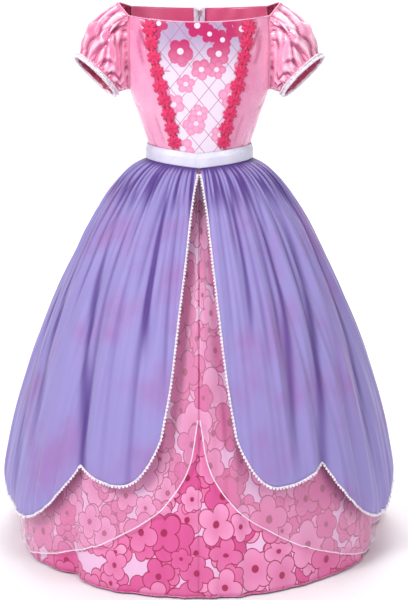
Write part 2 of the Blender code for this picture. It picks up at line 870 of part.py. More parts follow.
def leaving(share):
    """Direction in which the puff leaves the armhole, by place round the armhole."""
    angle = 2.0 * pi * share
    return Vector((
        LEAVING_OUT,
        -LEAVING_FORWARD * sin(angle),
        -LEAVING_UP * abs(cos(angle)),
    )).normalized()


def sleeve_point(share, along, which):
    """A point of the +X puff: a bulging path from the armhole to the cuff."""
    start = armhole_ring(share)
    end, spoke = cuff_ring(share, -CUFF_LENGTH)
    reach = (end - start).length * mixed(REACH_TOP, REACH_SIDE, abs(sin(2.0 * pi * share)))
    first = start + leaving(share) * reach
    second = end + (spoke * CUFF_FLARE - CUFF_OUTWARD).normalized() * reach
    back_share = 1.0 - along
    point = (
        start * back_share**3
        + first * (3 * along * back_share**2)
        + second * (3 * along**2 * back_share)
        + end * along**3
    )
    if which % 2:
        from_end = min(along, back_share)
        gathered = SLEEVE_GATHER * smooth(from_end / 0.12) * mixed(1.0, 0.35, smooth(from_end * 2.0))
        centre = ARMHOLE_MIDDLE.lerp(CUFF_CENTRE, along)
        point += (centre - point).normalized() * gathered
    return point


def sleeve_rows():
    """Rows of the +X puff sleeve's outside, from the armhole to the cuff."""
    rows = []
    for step in range(SLEEVE_ROWS + 1):
        even = step / SLEEVE_ROWS
        along = mixed(even, smooth(even), 0.35)
        rows.append([sleeve_point(i / SLEEVE_COLUMNS, along, i) for i in range(SLEEVE_COLUMNS)])
    rows.append([cuff_ring(i / SLEEVE_COLUMNS, 0.0)[0] for i in range(SLEEVE_COLUMNS)])
    return rows


def make_sleeves():
    """Two puff sleeves and the white edging round each cuff."""
    trim_rows = []
    out = CLEAR + CUFF_TRIM_THICK
    for along in (CUFF_TRIM_PAST - CUFF_TRIM_WIDTH, CUFF_TRIM_PAST):
        trim_rows.append([cuff_ring(i / SLEEVE_COLUMNS, along, out)[0] for i in range(SLEEVE_COLUMNS)])
    cloth_rows = sleeve_rows()
    for side, word in SIDES:
        cloth = [row[::-1] for row in side_rows(cloth_rows, side)]
        trim = [row[::-1] for row in side_rows(trim_rows, side)]
        grid_object(f"sleeve_{word}", cloth, SATIN, PINK_SATIN, around=True)
        grid_object(f"cuff_edging_{word}", trim, CUFF_TRIM_THICK, WHITE_TRIM, around=True)


def trim_point(side, across, height, out):
    """A point over the seam of a flower trim, a distance across it and out of the bodice."""
    azimuth = princess_azimuth(height)
    step = (body_point(azimuth + 1.0, height) - body_point(azimuth, height)).length
    return body_point(side * (azimuth + side * across / step), height, out)


def flower_outline(middle):
    """Outline of a flower of the trim round a height: each petal has a flat tip, then a notch.

    The first and the last point are the top petal's tip, which the flower above shares.
    """
    radius = FLOWER_PITCH / 2 / cos(PETAL_HALF_TIP)
    petal = 2.0 * pi / FLOWER_PETALS
    outline = []
    for i in range(FLOWER_PETALS):
        for angle, reach in (
            (petal * i + PETAL_HALF_TIP, radius),
            (petal * (i + 0.5), radius * PETAL_NOTCH),
            (petal * (i + 1) - PETAL_HALF_TIP, radius),
        ):
            outline.append((reach * sin(angle), middle + reach * cos(angle)))
    return outline


def make_flower_trims():
    """A chain of flowers down each princess seam, one raised body a side."""
    for side, word in SIDES:
        bm = bmesh.new()
        for flower in range(FLOWERS):
            middle = FLOWER_TOP - FLOWER_PITCH * (flower + 0.5)
            outline = flower_outline(middle)
            count = len(outline)
            top = [bm.verts.new(trim_point(side, *place, CLEAR + FLOWER_RIM)) for place in outline]
            under = [bm.verts.new(trim_point(side, *place, CLEAR)) for place in outline]
            crown = bm.verts.new(trim_point(side, 0.0, middle, CLEAR + FLOWER_CENTRE))
            sole = bm.verts.new(trim_point(side, 0.0, middle, CLEAR))
            for i in range(count):
                j = (i + 1) % count
                bm.faces.new((top[j], top[i], crown))
                bm.faces.new((under[i], under[j], sole))
                joins_below = i == count // 2 - 1 and flower < FLOWERS - 1
                joins_above = i == count - 1 and flower > 0
                if not joins_below and not joins_above:
                    bm.faces.new((top[i], top[j], under[j], under[i]))
        bmesh.ops.remove_doubles(bm, verts=bm.verts, dist=WELD)
        bmesh.ops.recalc_face_normals(bm, faces=bm.faces)
        mesh = bpy.data.meshes.new(f"flower_trim_{word}")
        bm.to_mesh(mesh)
        bm.free()
        mesh.materials.append(material_of(ROSE_LACE))
        dress.objects.link(bpy.data.objects.new(f"flower_trim_{word}", mesh))


def back_strip(name, from_centre, to_centre, top, out, thickness, paint):
    """A strip of the zip down the centre back, from a height to the waist seam."""
    rows = []
    for step in range(BODICE_ROWS + 1):
        down = 1.0 - (1.0 - step / BODICE_ROWS) ** BODICE_CROWDING
        height = mixed(top, WAIST + SEAM_GAP, down)
        row = []
        for x in (from_centre, 0.5 * (from_centre + to_centre), to_centre):
            point = body_point(180.0 - half_gap(180.0, height, x), height, out)
            row.append(point)
        rows.append(row)
    grid_object(name, rows, thickness, paint)


def zip_frame():
    """Matrix of the zip's slider: X across, Y down the back, Z out of it."""
    upper, lower = (body_point(180.0, SLIDER_MIDDLE + step) for step in (0.004, -0.004))
    down = (lower - upper).normalized()
    across = Vector((1.0, 0.0, 0.0))
    out = across.cross(down)
    origin = body_point(180.0, SLIDER_MIDDLE)
    frame = Matrix((across, down, out)).transposed().to_4x4()
    frame.translation = origin
    return frame


def box_object(name, low, high, collection):
    """A box between two corners of the slider's frame."""
    bm = bmesh.new()
    bmesh.ops.create_cube(bm, size=1.0)
    for vert in bm.verts:
        vert.co = Vector([mixed(a, b, c + 0.5) for a, b, c in zip(low, high, vert.co)])
    mesh = bpy.data.meshes.new(name)
    bm.to_mesh(mesh)
    bm.free()
    mesh.materials.append(material_of(ZIP_METAL))
    made = bpy.data.objects.new(name, mesh)
    made.matrix_world = zip_frame()
    collection.objects.link(made)
    return made


def make_slider():
    """The slider: an outer and an inner plate, the neck between them and the bridge of the tab."""
    inner = -(SATIN + CLEAR + TAPE_THICK + CLEAR)
    length, width = SLIDER_HALF_LENGTH, SLIDER_HALF_WIDTH
    narrow = width - INNER_PLATE_NARROWER
    bridge = TAB_OUT + TAB_THICK / 2 + SEAM_GAP
    high_in_bridge = bridge + BRIDGE_THICK / 2
    neck, arm = NECK_HALF_WIDTH, BRIDGE_HALF_WIDTH
    plate = ((-width, -length, SEAM_GAP), (width, length, PLATE_OUT))
    more = (
        ((-neck, -length, inner - neck), (neck, SLIDER_NECK - length, PLATE_SUNK)),
        ((-narrow, -length, inner - INNER_PLATE_THICK), (narrow, length, inner)),
        ((-arm, BRIDGE_TOP, PLATE_SUNK), (arm, BRIDGE_TOP + BRIDGE_LEG, high_in_bridge)),
        ((-arm, BRIDGE_LOW - BRIDGE_LEG, PLATE_SUNK), (arm, BRIDGE_LOW, high_in_bridge)),
        ((-arm, BRIDGE_TOP, bridge), (arm, BRIDGE_LOW, bridge + BRIDGE_THICK)),
    )
    slider = box_object("zip_slider", *plate, dress)
    for i, (low, high) in enumerate(more):
        part = box_object(f"slider_part_{i}", low, high, cutters)
        part.hide_render = True
        part.display_type = "WIRE"
        join = slider.modifiers.new(f"join_{i}", "BOOLEAN")
        join.operation = "UNION"
        join.object = part


def outline_spline(curve, points):
    """Adds a closed outline of (x, y) points to a flat curve."""
    spline = curve.splines.new("POLY")
    spline.points.add(len(points) - 1)
    spline.use_cyclic_u = True
    for point, (x, y) in zip(spline.points, points):
        point.co = (x, y, 0.0, 1.0)


def make_pull_tab():
    """The tab: a flat plate with a slot at its top, where its bar lies under the bridge."""
    curve = bpy.data.curves.new("zip_pull_tab", "CURVE")
    curve.dimensions = "2D"
    curve.fill_mode = "BOTH"
    curve.extrude = TAB_THICK / 2
    top = -TAB_BAR / 2
    outer = [(TAB_HALF_WIDTH, top), (-TAB_HALF_WIDTH, top)]
    low = TAB_LENGTH - TAB_HALF_WIDTH - TAB_BAR / 2
    for i in range(TAB_TIP_STEPS + 1):
        angle = pi * i / TAB_TIP_STEPS
        outer.append((-TAB_HALF_WIDTH * cos(angle), low + TAB_HALF_WIDTH * sin(angle)))
    hole_top = TAB_BAR / 2
    hole_low = hole_top + TAB_HOLE_LENGTH
    hole = [(x, hole_top) for x in (-TAB_HOLE_HALF, TAB_HOLE_HALF)]
    hole += [(x, hole_low) for x in (TAB_HOLE_HALF, -TAB_HOLE_HALF)]
    outline_spline(curve, outer)
    outline_spline(curve, hole)
    curve.materials.append(material_of(ZIP_METAL))
    tab = bpy.data.objects.new("zip_pull_tab", curve)
    tab.matrix_world = zip_frame() @ Matrix.Translation((0.0, TAB_BELOW_MIDDLE, TAB_OUT))
    dress.objects.link(tab)


def make_zip():
    """Two tapes behind the slot, the chain in it, the slider at its top and the pull tab."""
    tape_out = -(SATIN + CLEAR)
    chain_top = SLIDER_MIDDLE + SLIDER_HALF_LENGTH - SLIDER_NECK - CLEAR
    back_strip("zip_tape_left", TAPE_HALF, TAPE_SPLIT, NECK_BACK, tape_out, TAPE_THICK, WHITE_TAPE)
    back_strip("zip_tape_right", -TAPE_SPLIT, -TAPE_HALF, NECK_BACK, tape_out, TAPE_THICK, WHITE_TAPE)
    back_strip("zip_chain", CHAIN_HALF, -CHAIN_HALF, chain_top, 0.0, CHAIN_THICK, WHITE_TAPE)
    make_slider()
    make_pull_tab()


def main():
    """Builds every piece of the dress."""
    make_bodice()
    make_waist_ribbon()
    make_overskirt()
    make_sheer_skirt()
    make_underskirt()
    make_sleeves()
    make_flower_trims()
    make_zip()


clear_scene()
dress = collection_named("princess_dress")
cutters = collection_named("cutters")
main()
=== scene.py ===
"""Looks of a child's princess costume dress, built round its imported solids.

Metres, +Z up, the front faces -Y and the wearer's left is +X. An azimuth is measured in plan from
the front, in degrees, positive towards +X. A share of the skirt runs from the waist seam to the hem.
"""

import json
import logging
import math
from dataclasses import dataclass
from enum import Enum
from typing import Callable, NamedTuple, Sequence

import bpy
import numpy as np
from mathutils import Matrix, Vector

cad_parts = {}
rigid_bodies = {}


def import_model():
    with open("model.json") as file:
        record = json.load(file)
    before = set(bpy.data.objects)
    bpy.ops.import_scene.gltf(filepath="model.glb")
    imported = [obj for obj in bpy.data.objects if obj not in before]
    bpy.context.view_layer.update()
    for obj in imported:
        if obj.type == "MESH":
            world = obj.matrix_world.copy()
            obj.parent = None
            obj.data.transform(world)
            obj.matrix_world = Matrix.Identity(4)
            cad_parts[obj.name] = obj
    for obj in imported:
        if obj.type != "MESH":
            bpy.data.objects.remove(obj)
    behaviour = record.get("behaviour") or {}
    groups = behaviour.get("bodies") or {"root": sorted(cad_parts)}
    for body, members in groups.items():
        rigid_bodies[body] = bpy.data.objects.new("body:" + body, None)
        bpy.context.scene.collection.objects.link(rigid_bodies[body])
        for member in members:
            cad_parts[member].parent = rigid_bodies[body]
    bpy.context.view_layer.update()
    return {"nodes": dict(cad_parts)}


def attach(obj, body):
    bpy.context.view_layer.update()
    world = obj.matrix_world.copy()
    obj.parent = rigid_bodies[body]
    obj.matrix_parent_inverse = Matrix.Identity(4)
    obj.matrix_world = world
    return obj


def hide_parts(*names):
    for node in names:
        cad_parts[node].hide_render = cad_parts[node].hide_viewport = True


for startup_object in list(bpy.data.objects):
    bpy.data.objects.remove(startup_object, do_unlink=True)
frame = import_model()

LOG = logging.getLogger("dress")
Array = np.ndarray
Colour = tuple[float, float, float, float]
Triple = tuple[float, float, float]
Piece = bpy.types.Object
Material = bpy.types.Material
Tree = bpy.types.NodeTree
Node = bpy.types.Node
Socket = bpy.types.NodeSocket

NECK_FRONT, NECK_FRONT_CORNER = -0.0287, -0.020
NECK_BACK, NECK_BACK_CORNER = -0.010, -0.006
UNDERARM, WAIST, WAIST_POINT_DROP, HEM = -0.1395, -0.2447, 0.0105, -0.920
CLOTH = 0.0007
CLEAR = 0.0009
BODY = "dress"


class Side(Enum):
    """The two sides of the dress, by the wearer's hand and the sign of X there."""

    LEFT = ("left", 1)
    RIGHT = ("right", -1)

    @property
    def word(self) -> str:
        """The side's name as node names use it."""
        return self.value[0]

    @property
    def sign(self) -> int:
        """1 towards +X, -1 towards -X."""
        return self.value[1]


class Held(Enum):
    """How a sheet of cloth is held."""

    GATHERED = "gathered"
    STRETCHED = "stretched"


def smooth(share: Array | float) -> Array:
    """0 to 1 with a soft start and end.

    Args:
        share: any numbers; those outside 0 to 1 are held at the ends.

    Returns:
        The eased numbers.
    """
    held = np.clip(share, 0.0, 1.0)
    return held * held * (3.0 - 2.0 * held)


def mixed(low: Array | float, high: Array | float, share: Array | float) -> Array:
    """The value that lies a share of the way from low to high."""
    return low + (high - low) * share


def apart(azimuth: Array | float, other: Array | float) -> Array:
    """Degrees from one azimuth to another, the short way round."""
    return (azimuth - other + 180.0) % 360.0 - 180.0


def oval(azimuth: Array, half_width: Array, half_depth: Array, squareness: Array | float) -> Array:
    """Radius of a squared oval at an azimuth.

    Args:
        azimuth: degrees from the front.
        half_width: half the oval's size along X.
        half_depth: half the oval's size along Y.
        squareness: 2 for an ellipse, more for squarer corners.

    Returns:
        The radius at each azimuth.
    """
    across = np.abs(np.sin(np.radians(azimuth))) / half_width
    deep = np.abs(np.cos(np.radians(azimuth))) / half_depth
    return (across**squareness + deep**squareness) ** (-1.0 / squareness)


def placed(azimuth: Array, radius: Array, height: Array) -> Array:
    """Points at an azimuth, radius and height."""
    turn, radius, height = np.broadcast_arrays(np.radians(azimuth), radius, height)
    return np.stack([radius * np.sin(turn), -radius * np.cos(turn), height], axis=-1)


def flipped(flip: bool, *grids: Array) -> tuple[Array, ...]:
    """Grids with their columns in the other order where flip is true, so that they face outwards."""
    return tuple(grid[:, ::-1] if flip else grid for grid in grids)


def normals_of(points: Array, around: bool) -> Array:
    """Outward unit normals of a grid whose rows run down and whose columns run to growing azimuth.

    Args:
        points: rows by columns by 3.
        around: whether the last column meets the first.

    Returns:
        A normal for each point.
    """
    down = np.gradient(points, axis=0)
    if around:
        ahead = np.roll(points, -1, axis=1) - np.roll(points, 1, axis=1)
    else:
        ahead = np.gradient(points, axis=1)
    normal = np.cross(down, ahead)
    return normal / np.maximum(np.linalg.norm(normal, axis=-1, keepdims=True), 1e-12)


def curve_noise(at: Array, seed: int, waves: int = 6) -> Array:
    """Smooth seeded noise of about -1 to 1 along a number.

    Args:
        at: where to read it; one unit is about one bump.
        seed: which noise.
        waves: how many waves are added.

    Returns:
        The noise at each place.
    """
    chance = np.random.default_rng(seed)
    total = np.zeros_like(np.asarray(at, float))
    for _ in range(waves):
        total = total + np.sin(at * chance.uniform(1.6, 6.0) + chance.uniform(0, 6.28))
    return total / math.sqrt(waves) / 1.2


class Curve:
    """A smooth curve through a table's points that never overshoots them."""

    def __init__(self, pairs: Sequence[tuple[float, float]]) -> None:
        """Sorts the pairs of key and value, and finds a slope for each."""
        ordered = sorted(pairs)
        self.keys = np.array([pair[0] for pair in ordered])
        self.values = np.array([pair[1] for pair in ordered])
        slopes = np.diff(self.values) / np.diff(self.keys)
        before, after = slopes[:-1], slopes[1:]
        same = before * after > 0
        total = np.where(same, before + after, 1.0)
        inner = np.where(same, 2.0 * before * after / total, 0.0)
        self.tangents = np.concatenate([slopes[:1], inner, slopes[-1:]])

    def __call__(self, at: Array | float) -> Array:
        """The curve's value at each key.

        Args:
            at: keys; those past an end read that end.

        Returns:
            The values.
        """
        held = np.clip(at, self.keys[0], self.keys[-1])
        i = np.clip(np.searchsorted(self.keys, held, side="right") - 1, 0, len(self.keys) - 2)
        width = self.keys[i + 1] - self.keys[i]
        s = (held - self.keys[i]) / width
        return (
            self.values[i] * (1 + 2 * s) * (1 - s) ** 2
            + self.tangents[i] * width * s * (1 - s) ** 2
            + self.values[i + 1] * s * s * (3 - 2 * s)
            + self.tangents[i + 1] * width * s * s * (s - 1)
        )


@dataclass(frozen=True)
class Crease:
    """A soft trough or ridge along a bent line on a piece's own two coordinates."""

    start: tuple[float, float]
    bend: tuple[float, float]
    end: tuple[float, float]
    lift: float
    width: float
    fades: tuple[float, float] = (0.3, 0.3)

    def field(self, u: Array, v: Array, scale: tuple[float, float], period: float = 0.0) -> Array:
        """How far the crease moves each point out.

        Args:
            u: the points' first coordinate.
            v: their second coordinate.
            scale: metres to a unit of each.
            period: the first coordinate's period on a closed piece, or 0.

        Returns:
            The distance for each point, in metres.
        """
        steps = 14
        nearest = np.full(u.shape, 1e9)
        where = np.zeros(u.shape)
        for i in range(steps + 1):
            t = i / steps
            middle_u = (1 - t) ** 2 * self.start[0] + 2 * t * (1 - t) * self.bend[0] + t * t * self.end[0]
            middle_v = (1 - t) ** 2 * self.start[1] + 2 * t * (1 - t) * self.bend[1] + t * t * self.end[1]
            step_u = u - middle_u
            if period:
                step_u = (step_u + period / 2) % period - period / 2
            away = (step_u * scale[0]) ** 2 + ((v - middle_v) * scale[1]) ** 2
            closer = away < nearest
            where = np.where(closer, t, where)
            nearest = np.minimum(nearest, away)
        taper = smooth(where / max(self.fades[0], 0.01) + 0.15)
        taper = taper * smooth((1.0 - where) / max(self.fades[1], 0.01) + 0.15)
        return self.lift * taper * np.exp(-nearest / self.width**2)


class Level(NamedTuple):
    """One level of the bodice's outside."""

    height: float
    half_width: float
    front: float
    back: float
    squareness: float


class BodyForm:
    """The bodice's outside and the lines drawn on it."""

    LEVELS = (
        Level(-0.285, 0.0855, 0.0705, 0.0690, 2.10),
        Level(-0.245, 0.0855, 0.0705, 0.0690, 2.15),
        Level(-0.228, 0.0885, 0.0735, 0.0715, 2.20),
        Level(-0.206, 0.0960, 0.0775, 0.0750, 2.25),
        Level(-0.175, 0.1058, 0.0815, 0.0795, 2.30),
        Level(-0.140, 0.1168, 0.0850, 0.0850, 2.45),
        Level(-0.090, 0.1200, 0.0845, 0.0870, 2.60),
        Level(-0.030, 0.1210, 0.0790, 0.0840, 2.80),
        Level(0.005, 0.1205, 0.0750, 0.0820, 2.80),
    )
    SEAM = (
        (-0.262, 0.0365), (-0.224, 0.0405), (-0.179, 0.0497), (-0.142, 0.0600), (-0.086, 0.0725),
        (-0.018, 0.0835),
    )
    ARMHOLE_X = 0.1145
    ARMHOLE_POWER = 4.0
    ZIP_SLOT = 0.0022

    def __init__(self) -> None:
        """Makes a curve of each column of the table, and finds the neckline's corners."""
        self.half_width = Curve([(level.height, level.half_width) for level in self.LEVELS])
        self.front = Curve([(level.height, level.front) for level in self.LEVELS])
        self.back = Curve([(level.height, level.back) for level in self.LEVELS])
        self.squareness = Curve([(level.height, level.squareness) for level in self.LEVELS])
        self.seam = Curve(self.SEAM)
        self.corner_z = {False: NECK_FRONT_CORNER, True: NECK_BACK_CORNER}
        self.corner_y = {
            back: float(self.point(self.azimuth_at_x(self.ARMHOLE_X, z, back), z)[..., 1])
            for back, z in self.corner_z.items()
        }

    def radius(self, azimuth: Array | float, height: Array | float) -> Array:
        """Radius of the outside at an azimuth and height."""
        azimuth = np.asarray(azimuth, float)
        is_front = np.abs(apart(azimuth, 0.0)) <= 90.0
        depth = np.where(is_front, self.front(height), self.back(height))
        return oval(azimuth, self.half_width(height), depth, self.squareness(height))

    def point(self, azimuth: Array | float, height: Array | float, out: Array | float = 0.0) -> Array:
        """Points of the outside, moved out in plan by a distance."""
        return placed(azimuth, self.radius(azimuth, height) + out, height)

    def azimuth_at_x(self, x: Array | float, height: Array | float, back: bool = False) -> Array:
        """The azimuth where the outside is a distance x from the centre.

        Args:
            x: metres from the centre, towards +X.
            height: at which height.
            back: whether it is sought on the back half.

        Returns:
            Degrees from the front.
        """
        x, height = np.broadcast_arrays(np.asarray(x, float), np.asarray(height, float))
        low = np.full(x.shape, 90.0 if back else 0.0)
        high = low + 90.0
        for _ in range(40):
            middle = 0.5 * (low + high)
            too_far = (self.point(middle, height)[..., 0] > np.abs(x)) != back
            high = np.where(too_far, middle, high)
            low = np.where(too_far, low, middle)
        return 0.5 * (low + high) * np.where(x >= 0, 1.0, -1.0)

    def side_azimuth(self, y: Array | float, height: Array | float) -> Array:
        """Azimuth of the +X side at a depth in plan."""
        azimuth = np.full(np.broadcast(y, height).shape, 90.0)
        for _ in range(6):
            reach = self.radius(azimuth, height) * np.sin(np.radians(azimuth))
            azimuth = np.degrees(np.arctan2(reach, -np.asarray(y)))
        return azimuth

    def waist_height(self, azimuth: Array | float) -> Array:
        """Height of the waist seam: level behind, a shallow point at the centre front."""
        azimuth = np.asarray(azimuth, float)
        reach = np.abs(self.point(azimuth, WAIST)[..., 0]) / self.LEVELS[1].half_width
        dropped = WAIST - WAIST_POINT_DROP * (1.0 - np.minimum(reach, 1.0))
        return np.where(np.abs(apart(azimuth, 0.0)) >= 90.0, WAIST, dropped)

    def princess(self, height: Array | float) -> Array:
        """Azimuth of the +X seam under the flower trim."""
        return self.azimuth_at_x(self.seam(height), height)

    def side_seam(self, height: Array | float) -> Array:
        """Azimuth of the +X side seam."""
        return 90.0 + 0.0 * height

    def zip_slot(self, height: Array | float) -> Array:
        """Azimuth of the +X edge of the zip's slot."""
        return 180.0 - np.degrees(self.ZIP_SLOT / self.radius(180.0, height))

    def neckline(self, x: Array | float, back: bool = False) -> Array:
        """Height of the neckline at a distance from the centre."""
        share = np.minimum(np.abs(x) / self.ARMHOLE_X, 1.0) ** 2
        ends = (NECK_BACK, NECK_BACK_CORNER) if back else (NECK_FRONT, NECK_FRONT_CORNER)
        return mixed(*ends, share)

    def armhole_height(self, y: Array, grown: float = 0.0) -> Array:
        """Height of the U shaped armhole edge at a depth in plan; grown widens the U."""
        corner_y = np.where(y > 0, abs(self.corner_y[True]), abs(self.corner_y[False]))
        corner_z = np.where(y > 0, self.corner_z[True], self.corner_z[False])
        share = np.minimum(np.abs(y) / (corner_y + grown), 1.0)
        return UNDERARM - grown + (corner_z - UNDERARM + grown) * share**self.ARMHOLE_POWER


class Fold(NamedTuple):
    """A trough: azimuths under the waist and at the hem, shares where it starts and ends, depth
    and half width in degrees."""

    at_waist: float
    at_hem: float
    starts: float
    ends: float
    depth: float
    spread: float


class Inset(NamedTuple):
    """How far a long layer lies inside the overskirt's smooth shape, once parted and at the waist,
    and how far its small folds go in and out."""

    full: float
    near: float
    ripple: float


class SkirtForm:
    """The skirt's smooth shape, and the folds and gathers of its layers."""

    LEVELS = (
        (0.000, 0.0889, 0.0739), (0.0128, 0.0890, 0.0740), (0.0185, 0.0990, 0.0822),
        (0.028, 0.1135, 0.0955), (0.042, 0.1285, 0.1100), (0.068, 0.1500, 0.1320),
        (0.118, 0.1845, 0.1680), (0.178, 0.2165, 0.2010), (0.241, 0.2465, 0.2320),
        (0.349, 0.2900, 0.2740), (0.494, 0.3310, 0.3170), (0.574, 0.3420, 0.3340),
        (0.620, 0.3410, 0.3420), (0.676, 0.3370, 0.3470),
    )
    FOLDS = (
        Fold(-26, -14, 0.02, 0.52, 0.0135, 3.0),
        Fold(-56, -36, 0.03, 1.30, 0.0135, 3.4),
        Fold(-78, -60, 0.05, 0.85, 0.0120, 3.6),
        Fold(-93, -70, 0.05, 1.20, 0.0110, 4.2),
        Fold(-101, -92, 0.10, 1.40, 0.0130, 4.5),
        Fold(-118, -113, 0.06, 1.00, 0.0090, 5.0),
        Fold(-136, -136, 0.04, 1.40, 0.0130, 4.5),
        Fold(-152, -158, 0.05, 0.90, 0.0090, 4.5),
        Fold(-168, -172, 0.04, 1.00, 0.0080, 4.0),
        Fold(180, 180, 0.10, 1.30, 0.0110, 4.5),
        Fold(167, 165, 0.04, 1.10, 0.0090, 4.5),
        Fold(150, 152, 0.05, 0.80, 0.0080, 4.0),
        Fold(135, 136, 0.04, 1.40, 0.0130, 4.5),
        Fold(118, 119, 0.05, 1.00, 0.0090, 4.5),
        Fold(104, 101, 0.06, 1.40, 0.0130, 4.5),
        Fold(90, 78, 0.05, 1.10, 0.0080, 4.0),
        Fold(77, 62, 0.04, 0.90, 0.0130, 3.6),
        Fold(57, 39, 0.03, 1.30, 0.0120, 3.4),
        Fold(41, 29, 0.03, 0.85, 0.0125, 3.0),
        Fold(25, 15, 0.02, 0.48, 0.0120, 2.8),
    )
    HEM_FOLDS = (
        (-42, -0.012, 4.5), (-27, 0.006, 9.0), (-62, 0.007, 8.0), (-92, -0.012, 9.0),
        (-114, 0.026, 10.0), (-142, -0.010, 8.0), (170, 0.008, 10.0), (138, -0.010, 8.0),
        (102, 0.028, 10.0), (81, -0.020, 6.0), (55, 0.006, 9.0),
    )
    SQUARE_UNTIL = 0.35
    PARTED_BY = 0.11
    GROWS_BELOW = 0.80
    BULK = 0.0034
    SHEER = Inset(0.0185, 0.0017, 0.0026)
    PRINT = Inset(0.0250, 0.0031, 0.0016)
    GATHERS = 84

    def __init__(self, body: BodyForm) -> None:
        """Keeps the body, and makes curves of the table and a list of small folds."""
        self.body = body
        self.widths = Curve([(drop, width) for drop, width, _ in self.LEVELS])
        self.depths = Curve([(drop, depth) for drop, _, depth in self.LEVELS])
        self.small_folds = self.make_small_folds()

    def make_small_folds(self) -> list[Fold]:
        """Short uneven folds between the large ones, the same on each run.

        Returns:
            The folds.
        """
        chance = np.random.default_rng(11)
        folds = []
        azimuth = -176.0
        while azimuth < 176.0:
            drift = 0.80 if abs(azimuth) < 95 else 0.97
            folds.append(
                Fold(
                    azimuth,
                    azimuth * drift + chance.uniform(-2.0, 2.0),
                    0.012,
                    chance.choice([0.22, 0.30, 0.45, 0.62, 0.95]) * chance.uniform(0.85, 1.15),
                    chance.uniform(0.0028, 0.0062),
                    chance.uniform(1.1, 2.1),
                )
            )
            azimuth += chance.uniform(4.6, 8.6)
        return folds

    def base(self, azimuth: Array, share: Array) -> tuple[Array, Array]:
        """Radius and height of the smooth shape at a share of the drop."""
        drop = share * (WAIST - HEM)
        width, depth = self.widths(drop), self.depths(drop)
        at_waist = self.body.radius(azimuth, WAIST) + self.BULK
        near_waist = at_waist * width / self.LEVELS[0][1]
        radius = mixed(near_waist, oval(azimuth, width, depth, 2.0), smooth(share / self.SQUARE_UNTIL))
        return radius, mixed(self.body.waist_height(azimuth), HEM, share)

    def share_at(self, azimuth: Array, height: Array) -> Array:
        """The share of the drop at a height."""
        top = self.body.waist_height(azimuth)
        return np.maximum((top - height) / (top - HEM), 0.0)

    def layer(self, azimuth: Array, share: Array, inset: Array, moved_out: Array) -> Array:
        """Points of a layer an inset inside the overskirt's smooth shape, then moved out.

        Args:
            azimuth: where, in degrees.
            share: share of the drop.
            inset: distance inside the smooth shape.
            moved_out: distance out in plan.

        Returns:
            The points.
        """
        radius, height = self.base(azimuth, share)
        before, height_before = self.base(azimuth, np.maximum(share - 0.004, 0.0))
        after, height_after = self.base(azimuth, np.minimum(share + 0.004, 1.0))
        run, fall = after - before, height_before - height_after
        length = np.hypot(run, fall)
        lowered = np.where(share < 0.9, height - inset * run / length, height)
        return placed(azimuth, radius - inset * fall / length + moved_out, lowered)

    def parted(self, share: Array) -> Array:
        """0 at the waist to 1 where the layers have their full distance."""
        return smooth(share / self.PARTED_BY)

    def swing(self, azimuth: Array, share: Array, grooves: bool = True) -> Array:
        """How far the skirts swing out, and in where grooves count, towards the hem."""
        grown = np.clip((share - self.GROWS_BELOW) / (1.0 - self.GROWS_BELOW), 0.0, 1.0)
        total = np.zeros(np.broadcast(azimuth, share).shape)
        for middle, out, spread in self.HEM_FOLDS:
            if grooves or out > 0:
                total = total + out * np.exp(-((apart(azimuth, middle) / spread) ** 2))
        return grown * total

    def folded(self, azimuth: Array, share: Array, folds: Sequence[Fold], narrowed: float = 1.0) -> Array:
        """How deep a list of folds is at each place, with their widths narrowed to a share."""
        total = np.zeros(np.broadcast(azimuth, share).shape)
        for fold in folds:
            way = np.clip((share - fold.starts) / (fold.ends - fold.starts), 0.0, 1.0)
            middle = mixed(fold.at_waist, fold.at_hem, smooth(share * 1.2))
            strength = smooth(way * 4.0) * smooth((1.0 - way) * 2.5)
            spread = fold.spread * narrowed * mixed(0.9, 1.5, share)
            total = total + fold.depth * strength * np.exp(-((apart(azimuth, middle) / spread) ** 2))
        return total

    def gathered(self, azimuth: Array, share: Array, seed: int) -> Array:
        """Small ridges under the waist seam, out from the smooth shape.

        Args:
            azimuth: where, in degrees.
            share: share of the drop.
            seed: which set of ridges.

        Returns:
            How far each point is moved out.
        """
        chance = np.random.default_rng(seed)
        total = np.zeros(np.broadcast(azimuth, share).shape)
        for i in range(self.GATHERS):
            middle = -180.0 + 360.0 * (i + chance.uniform(-0.3, 0.3)) / self.GATHERS
            ends = chance.uniform(0.06, 0.26)
            lift = chance.uniform(0.0015, 0.0038)
            spread = chance.uniform(1.0, 1.6)
            drift = middle * mixed(1.0, 0.86, smooth(share * 2.5)) if abs(middle) < 95 else middle
            strength = smooth((share - 0.0165) / 0.02) * smooth((ends - share) / (0.7 * ends))
            total = total + lift * strength * np.exp(-((apart(azimuth, drift) / spread) ** 2))
        return total


